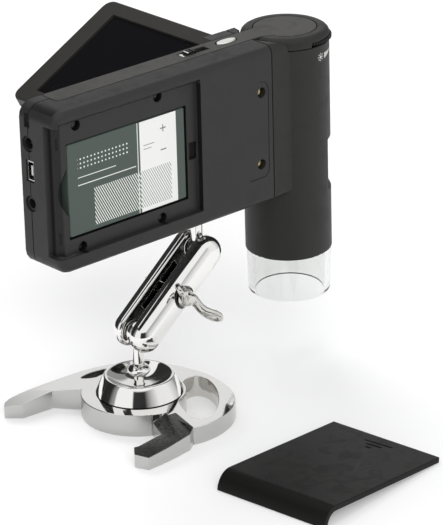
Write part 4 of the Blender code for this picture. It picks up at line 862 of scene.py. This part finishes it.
shell = {
    "back": -11.46, "groove": (0.16, 0.22), "grooveRound": 1.3,
    "grooveLine": ((51.2, 115.6), (53.8, 115.2), (55.1, 112.5), (54.8, 80.9), (53.1, 79.3),
                   (45.6, 79.3)),
    # Painted shade inside the battery's bay, darker than the case: within this width, and
    # deeper than this
    "bay": (41.0, -8.95),
    # The slope above the bay: its ends, its low and high edges (y, z), and how far it is cut
    "slope": (-40.5, 23.2, (-9.06, 122.30), (-11.46, 124.0)),
    "slopePast": (2.0, 1.42, 1.0, 0.6),
    # The valley between the bracket's top and the crown: (radius, height) points
    "valley": ((16.2, 125.9), (18.4, 127.9), (16.2, 127.9)),
    # The battery cover's top, z at (x, y) and its fall towards +X and +Y, and the ends of the
    # three grip grooves on it
    "coverTop": (2.92, 33, -82, 0.0763, 0.01), "coverUp": (0.076, 0.01, 0.997),
    "grips": (((37.5, -77.5), (39.8, -89.0)), ((35.5, -80.3), (36.8, -86.5)),
              ((33.3, -82.1), (33.8, -84.4))),
    "grip": (0.42, 0.40),
}


def slopeTool():
    left, right, (deepY, deepZ), (backY, backZ) = shell["slope"]
    out, up, down, deeper = shell["slopePast"]
    wedge = [(deepY, deepZ), (backY, backZ), (backY - out, backZ + up),
             (backY - out, deepZ - down), (deepY - deeper, deepZ - down),
             (deepY - deeper, deepZ)]
    return loopShape([[(x, y, z) for y, z in wedge] for x in (left, right)])


def grooveTool(line, size, outward):
    # A thin bar that cuts a groove along a line of points on a surface. The size is its half
    # width and its depth.
    half, deep = size
    outward = Vector(outward)
    points = []
    for first, second in zip(line, line[1:]):
        points += [Vector(first).lerp(Vector(second), t / 3) for t in range(3)]
    points.append(Vector(line[-1]))
    rings = []
    for i, here in enumerate(points):
        way = (points[min(i + 1, len(points) - 1)] - points[max(i - 1, 0)]).normalized()
        side = way.cross(outward).normalized() * half
        top, low = here + outward * 0.5, here - outward * deep
        rings.append([top - side, top + side, low + side, low - side])
    return loopShape(rings)


def makeShells():
    s = shell
    line = rounded(s["grooveLine"], s["grooveRound"], 5, (0, 5))
    panel = grooveTool([(x, s["back"], z) for x, z in line], s["groove"], (0, -1, 0))
    rear = dressed("rear_case", "rearCase", ["caseBlack", "bayPaintedShade"], 0.2,
                   cuts=[panel, slopeTool()])
    wide, deep = s["bay"]
    for face in rear.data.polygons:
        place = face.center / mm
        # The deep faces of the bay and the seat's right wall get painted shade
        seatWall = face.normal.x < -0.9 and abs(place.x - s["slope"][1]) < 0.3
        if abs(place.x) < wide and (place.y > deep or seatWall):
            face.material_index = 1
    valley = spunShape(s["valley"], 96, (*mark["axis"], 0), closed=True)
    height, fromX, fromY, fallX, fallY = s["coverTop"]
    grips = [grooveTool([(x, y, height - fallX * (x - fromX) - fallY * (y - fromY))
                         for x, y in ends], s["grip"], s["coverUp"]) for ends in s["grips"]]
    dressed("front_case", "frontCase", "caseBlack", 0.12)
    dressed("barrel_housing", "barrelHousing", "barrelBlack", 0.2, cuts=[valley])
    dressed("barrel_crown", "barrelCrown", "barrelBlack", 0.15, 40)
    dressed("top_cover", "topCover", "inlayGrey", 0.16)
    dressed("snap_button", "snapButton", "silver", 0.15, 20)
    for node, name in (("screen_frame", "screenFrame"), ("screen_back", "screenBack"),
                       ("screen_knuckle", "screenKnuckle")):
        dressed(node, name, "screenBlack", 0.2)
    dressed("battery_cover", "batteryCover", "coverBlack", 0.25, cuts=grips)
    dressed("battery", "batteryCell", "batteryLabel", 0.55, segments=3)


knob = {
    "ridges": 3, "edge": 0.1, "groove": 0.45,
    "plate": 127.55,   # height of the low plate at the knob's left
    "start": 2.0,      # how far along the plate the ribbed block begins
    "chrome": 1.2,     # how many rib widths of the block are chrome like the plate; the rest of the block and its sides are painted black as dark reflection
}


def makeKnob():
    k = knob
    low, high = middleOf("power_switch_knob")[1:]
    start = low.x + k["start"]
    pitch = (high.x - start) / (2 * k["ridges"] - 1)
    outline = [(low.x, low.z), (low.x, k["plate"]), (start, k["plate"]), (start, high.z)]
    for i in range(k["ridges"]):
        left = start + 2 * i * pitch
        if i:
            outline += [(left, high.z - k["groove"]), (left, high.z)]
        outline.append((left + pitch, high.z))
        if i < k["ridges"] - 1:
            outline.append((left + pitch, high.z - k["groove"]))
    outline.append((high.x, low.z))
    shape = loopShape([[(x, y, z) for x, z in outline] for y in (low.y, high.y)])
    piece = newPiece("powerSwitchKnob", "power_switch_knob", eased(shape, k["edge"]),
                     ["chrome", "innerBlackAndReflection"])
    # The block beyond the chrome ribs and its sides get painted black as dark reflection
    for face in piece.data.polygons:
        if face.center.x > (start + k["chrome"] * pitch) * mm or abs(face.normal.z) < 0.3:
            face.material_index = 1


nose = {
    "shoulder": 42.5, "top": 47.0, "tip": 25.5, "outer": 15.6, "tipOuter": 15.05,
    "spigot": 14.6, "wall": 2.1,
    # The rounded tip: (out, up) from its outer edge, then from its bore
    "rim": ((0.165, 1.05), (-0.1, 0.42), (-0.42, 0.1), (-0.8, 0.0)),
    "boreRim": ((0.35, 0.0), (0.06, 0.1), (0.0, 0.35)),
}


def makeNose():
    n = nose
    bore, lowBore = n["outer"] - n["wall"], n["tipOuter"] - n["wall"]
    profile = [(n["spigot"], n["top"]), (n["spigot"], n["shoulder"]),
               (n["outer"], n["shoulder"])]
    profile += [(n["tipOuter"] + out, n["tip"] + up) for out, up in n["rim"]]
    profile += [(lowBore + out, n["tip"] + up) for out, up in n["boreRim"]]
    profile += [(bore, n["shoulder"]), (n["spigot"] - n["wall"] / 2, n["top"])]
    shape = spunShape(profile, 128, (*mark["axis"], 0), closed=True)
    newPiece("noseTube", "nose_tube", shape, "clear", 30)


def toothed(shape, centre, reach, inset, depth, ends=(-1e9, 1e9)):
    # Sinks every other face of a turned rim, beyond a reach and between two heights.
    centre = Vector(centre) * mm
    spots = [(f, f.calc_center_median()) for f in shape.faces]
    rim = [(atan2(at.y - centre.y, at.x - centre.x), f) for f, at in spots
           if ends[0] * mm < at.z < ends[1] * mm and (at.xy - centre).length > reach * mm
           and abs(f.normal.z) < 0.2]
    rim.sort(key=lambda pair: pair[0])
    bmesh.ops.inset_individual(shape, faces=[f for turn, f in rim[::2]], thickness=inset * mm,
                               depth=-depth * mm)


ring = {
    "radius": 14.6, "wall": 1.5, "chamfer": 0.3, "teeth": 96, "inset": 0.10, "depth": 0.35,
    "inside": 14.2, "plain": 1.0,
}


def makeFocusRing():
    low, high = middleOf("focus_ring")[1:]
    radius, chamfer, hollow = ring["radius"], ring["chamfer"], ring["radius"] - ring["wall"]
    outline = [(radius, high.z - chamfer), (radius, low.z + chamfer), (radius - chamfer, low.z),
               (hollow, low.z), (hollow, high.z), (radius - chamfer, high.z)]
    shape = spunShape(outline, 2 * ring["teeth"], (*mark["axis"], 0), closed=True)
    ends = (low.z + ring["plain"], high.z - ring["plain"])
    toothed(shape, mark["axis"], ring["inside"], ring["inset"], ring["depth"], ends)
    newPiece("focusRing", "focus_ring", shape, "softRubber")


wheel = {
    "radius": 13.0, "bore": 1.8, "chamfer": 0.12, "teeth": 72, "inset": 0.06, "depth": 0.35,
    "inside": 10.0,
}


def makeWheel():
    middle, low, high = middleOf("brightness_wheel")
    radius, chamfer, bore = wheel["radius"], wheel["chamfer"], wheel["bore"]
    outline = [(radius - chamfer, high.z), (radius, high.z - chamfer),
               (radius, low.z + chamfer), (radius - chamfer, low.z), (bore, low.z),
               (bore, high.z)]
    shape = spunShape(outline, 2 * wheel["teeth"], (middle.x, middle.y, 0), closed=True)
    toothed(shape, middle.xy, wheel["inside"], wheel["inset"], wheel["depth"])
    newPiece("brightnessWheel", "brightness_wheel", shape, "softRubber")


makeShells()
makeKnob()
makeNose()
makeFocusRing()
makeWheel()
print("handset made")


# Nodes that keep their shape

kept = {
    "innerBlackAndReflection": ("lens_barrel", "dc_jack", "av_jack", "power_switch_body", "snap_switch"),
    "lens": ("objective_lens",), "ledBoard": ("led_ring_board",),
    "solderMask": ("image_sensor_board", "main_circuit_board"), "gold": ("battery_contacts",),
    "steel": ("tripod_bush", "hinge_pin", "usb_socket", "screen_screw_1", "screen_screw_2",
              "screen_screw_3", "screen_screw_4"),
    "screenGlass": ("screen_glass",), "silver": ("lcd_module",),
    "inlayGrey": ("menu_button_1", "menu_button_2", "menu_button_3", "menu_button_4"),
}


def dressKept():
    for finish, names in kept.items():
        for node in (nodes[name] for name in names):
            mesh = node.data
            mesh.materials.clear()
            mesh.materials.append(finishes[finish])
            mesh.shade_smooth()
            weld = node.modifiers.new("weld", "WELD")
            weld.merge_threshold = sameCad
            split = node.modifiers.new("crispEdges", "EDGE_SPLIT")
            split.split_angle = radians(35)


# The six screws that hold the case, each with a cross cut in its head
screwHead = {
    "cross": (1.9, 0.42, 0.5), "edge": 0.1,
    "heads": {
        "bay_screw_1": "darkSteel", "bay_screw_2": "darkSteel", "bay_screw_3": "darkSteel",
        "bay_screw_4": "darkSteel", "side_screw_1": "brass", "side_screw_2": "brass",
    },
}


def makeScrews():
    long, wide, deep = screwHead["cross"]
    for node, finish in screwHead["heads"].items():
        middle, low = middleOf(node)[:2]
        bars = [boxShape((middle.x - a / 2, low.y - 0.5, middle.z - b / 2),
                         (middle.x + a / 2, low.y + deep, middle.z + b / 2))
                for a, b in ((long, wide), (wide, long))]
        shape = carved(eased(cadShape(node), screwHead["edge"], 50), bars)
        newPiece(node.replace("_s", "S").replace("_", ""), node, shape, finish)


dressKept()
makeScrews()
print("kept nodes dressed:", sum(len(names) for names in kept.values()))


# Floor, lights and the room that the polished parts mirror

studio = {
    "floor": (0.765, 0.765, 0.77), "floorLift": 0.235, "sky": 0.55,
    # Name, place, size and power in metres and watts, and the point they aim at
    "lamps": (
        ("backLamp", (0.35, 0.95, 1.05), 0.9, 8.0),
        ("frontLamp", (-0.60, -1.05, 0.75), 1.0, 9.0),
        ("topLamp", (-0.15, -0.10, 1.30), 0.7, 2.5),
    ),
    "aim": (0.02, 0.0, 0.06),
    # The wall's radius and height in metres. Turns are in degrees from the -Y side towards
    # +X, each with how bright the wall is there.
    "wall": (0.75, 1.0),
    "bands": ((-180, 0.03), (-152, 0.03), (-148, 0.02), (-128, 0.03), (-118, 0.26),
              (-110, 0.36), (-107, 1.0), (-61, 1.0), (-58, 0.04), (-26, 0.03), (-10, 0.45),
              (12, 0.90), (50, 0.95), (76, 0.60), (84, 0.32), (114, 0.30), (124, 0.85),
              (150, 0.80), (160, 0.04), (180, 0.03)),
    # Above these heights the front of the wall is pale, between these turns
    "paleAbove": (0.45, 0.58), "paleFrom": (-112, -104), "paleTo": (70, 50),
}


def seenDirect(tree):
    # 1 for rays from the camera, a mirror or clear plastic, and 0 for the light they spread.
    path = wire(tree, "ShaderNodeLightPath").outputs
    return sums(tree, "MAXIMUM", path["Is Camera Ray"],
                sums(tree, "MAXIMUM", path["Is Glossy Ray"], path["Is Transmission Ray"]))


def makeFloor():
    shape = bmesh.new()
    bmesh.ops.create_grid(shape, x_segments=1, y_segments=1, size=4)
    bmesh.ops.translate(shape, vec=(0, 0, -0.00005), verts=shape.verts)
    floor = placed("paleFloor", shape)
    material, tree, shader = newMaterial("paleFloor", Roughness=0.9, Specular_IOR_Level=0.0,
                                         Base_Color=(*studio["floor"], 1))
    strength = times(tree, seenDirect(tree), studio["floorLift"])
    lift = wire(tree, "ShaderNodeEmission", Color=(1, 1, 1, 1), Strength=strength).outputs[0]
    both = wire(tree, "ShaderNodeAddShader", i0=shader.outputs[0], i1=lift).outputs[0]
    join(tree, tree.nodes["Material Output"], Surface=both)
    floor.data.materials.append(material)


def makeLights():
    for name, place, size, power in studio["lamps"]:
        data = bpy.data.lights.new(name, "AREA")
        data.shape, data.size, data.energy = "DISK", size, power
        lamp = bpy.data.objects.new(name, data)
        bpy.context.scene.collection.objects.link(lamp)
        lamp.location = place
        lamp.visible_glossy = False
        aim = Vector(studio["aim"]) - Vector(place)
        lamp.rotation_euler = aim.to_track_quat("-Z", "Y").to_euler()


def makeWall():
    # A round wall of pale and dark cloths that only mirror-like surfaces see.
    radius, height = (size / mm for size in studio["wall"])
    wall = placed("studioWall", spunShape([(radius, -1), (radius, height)]))
    material, tree = newMaterial("studioCloth")[:2]
    tree.nodes.clear()
    parts = wire(tree, "ShaderNodeSeparateXYZ", Vector=objectPlace(tree)).outputs
    turn = sums(tree, "ARCTAN2", parts["X"], times(tree, parts["Y"], -1.0))
    share = sums(tree, "MULTIPLY_ADD", turn, 1 / (2 * pi), 0.5)
    ramp = wire(tree, "ShaderNodeValToRGB", i0=share)
    stops = ramp.color_ramp.elements
    stops.remove(stops[1])
    for degrees, bright in studio["bands"]:
        stop = stops.new((degrees + 180) / 360) if degrees > -180 else stops[0]
        stop.color = (bright, bright, bright, 1)
    rise = between(tree, parts["Z"], *studio["paleAbove"])
    ends = [between(tree, turn, *(radians(end) for end in studio[key]))
            for key in ("paleFrom", "paleTo")]
    pale = times(tree, rise, times(tree, *ends))
    bright = sums(tree, "MAXIMUM", ramp.outputs[0], pale)
    light = wire(tree, "ShaderNodeEmission", Color=bright, Strength=1.0)
    join(tree, wire(tree, "ShaderNodeOutputMaterial"), Surface=light.outputs[0])
    wall.data.materials.append(material)
    wall.visible_camera = wall.visible_diffuse = wall.visible_shadow = False
    wall.visible_transmission = wall.visible_volume_scatter = False


def makeWorld():
    world = bpy.data.worlds.new("paleRoom")
    bpy.context.scene.world = world
    world.use_nodes = True
    tree = world.node_tree
    tree.nodes.clear()
    strength = sums(tree, "MULTIPLY_ADD", seenDirect(tree), 1.0 - studio["sky"], studio["sky"])
    light = wire(tree, "ShaderNodeBackground", Color=(1, 1, 1, 1), Strength=strength)
    join(tree, wire(tree, "ShaderNodeOutputWorld"), Surface=light.outputs[0])


makeFloor()
makeLights()
makeWall()
makeWorld()
bpy.context.scene.view_settings.view_transform = "Standard"
print("studio made")
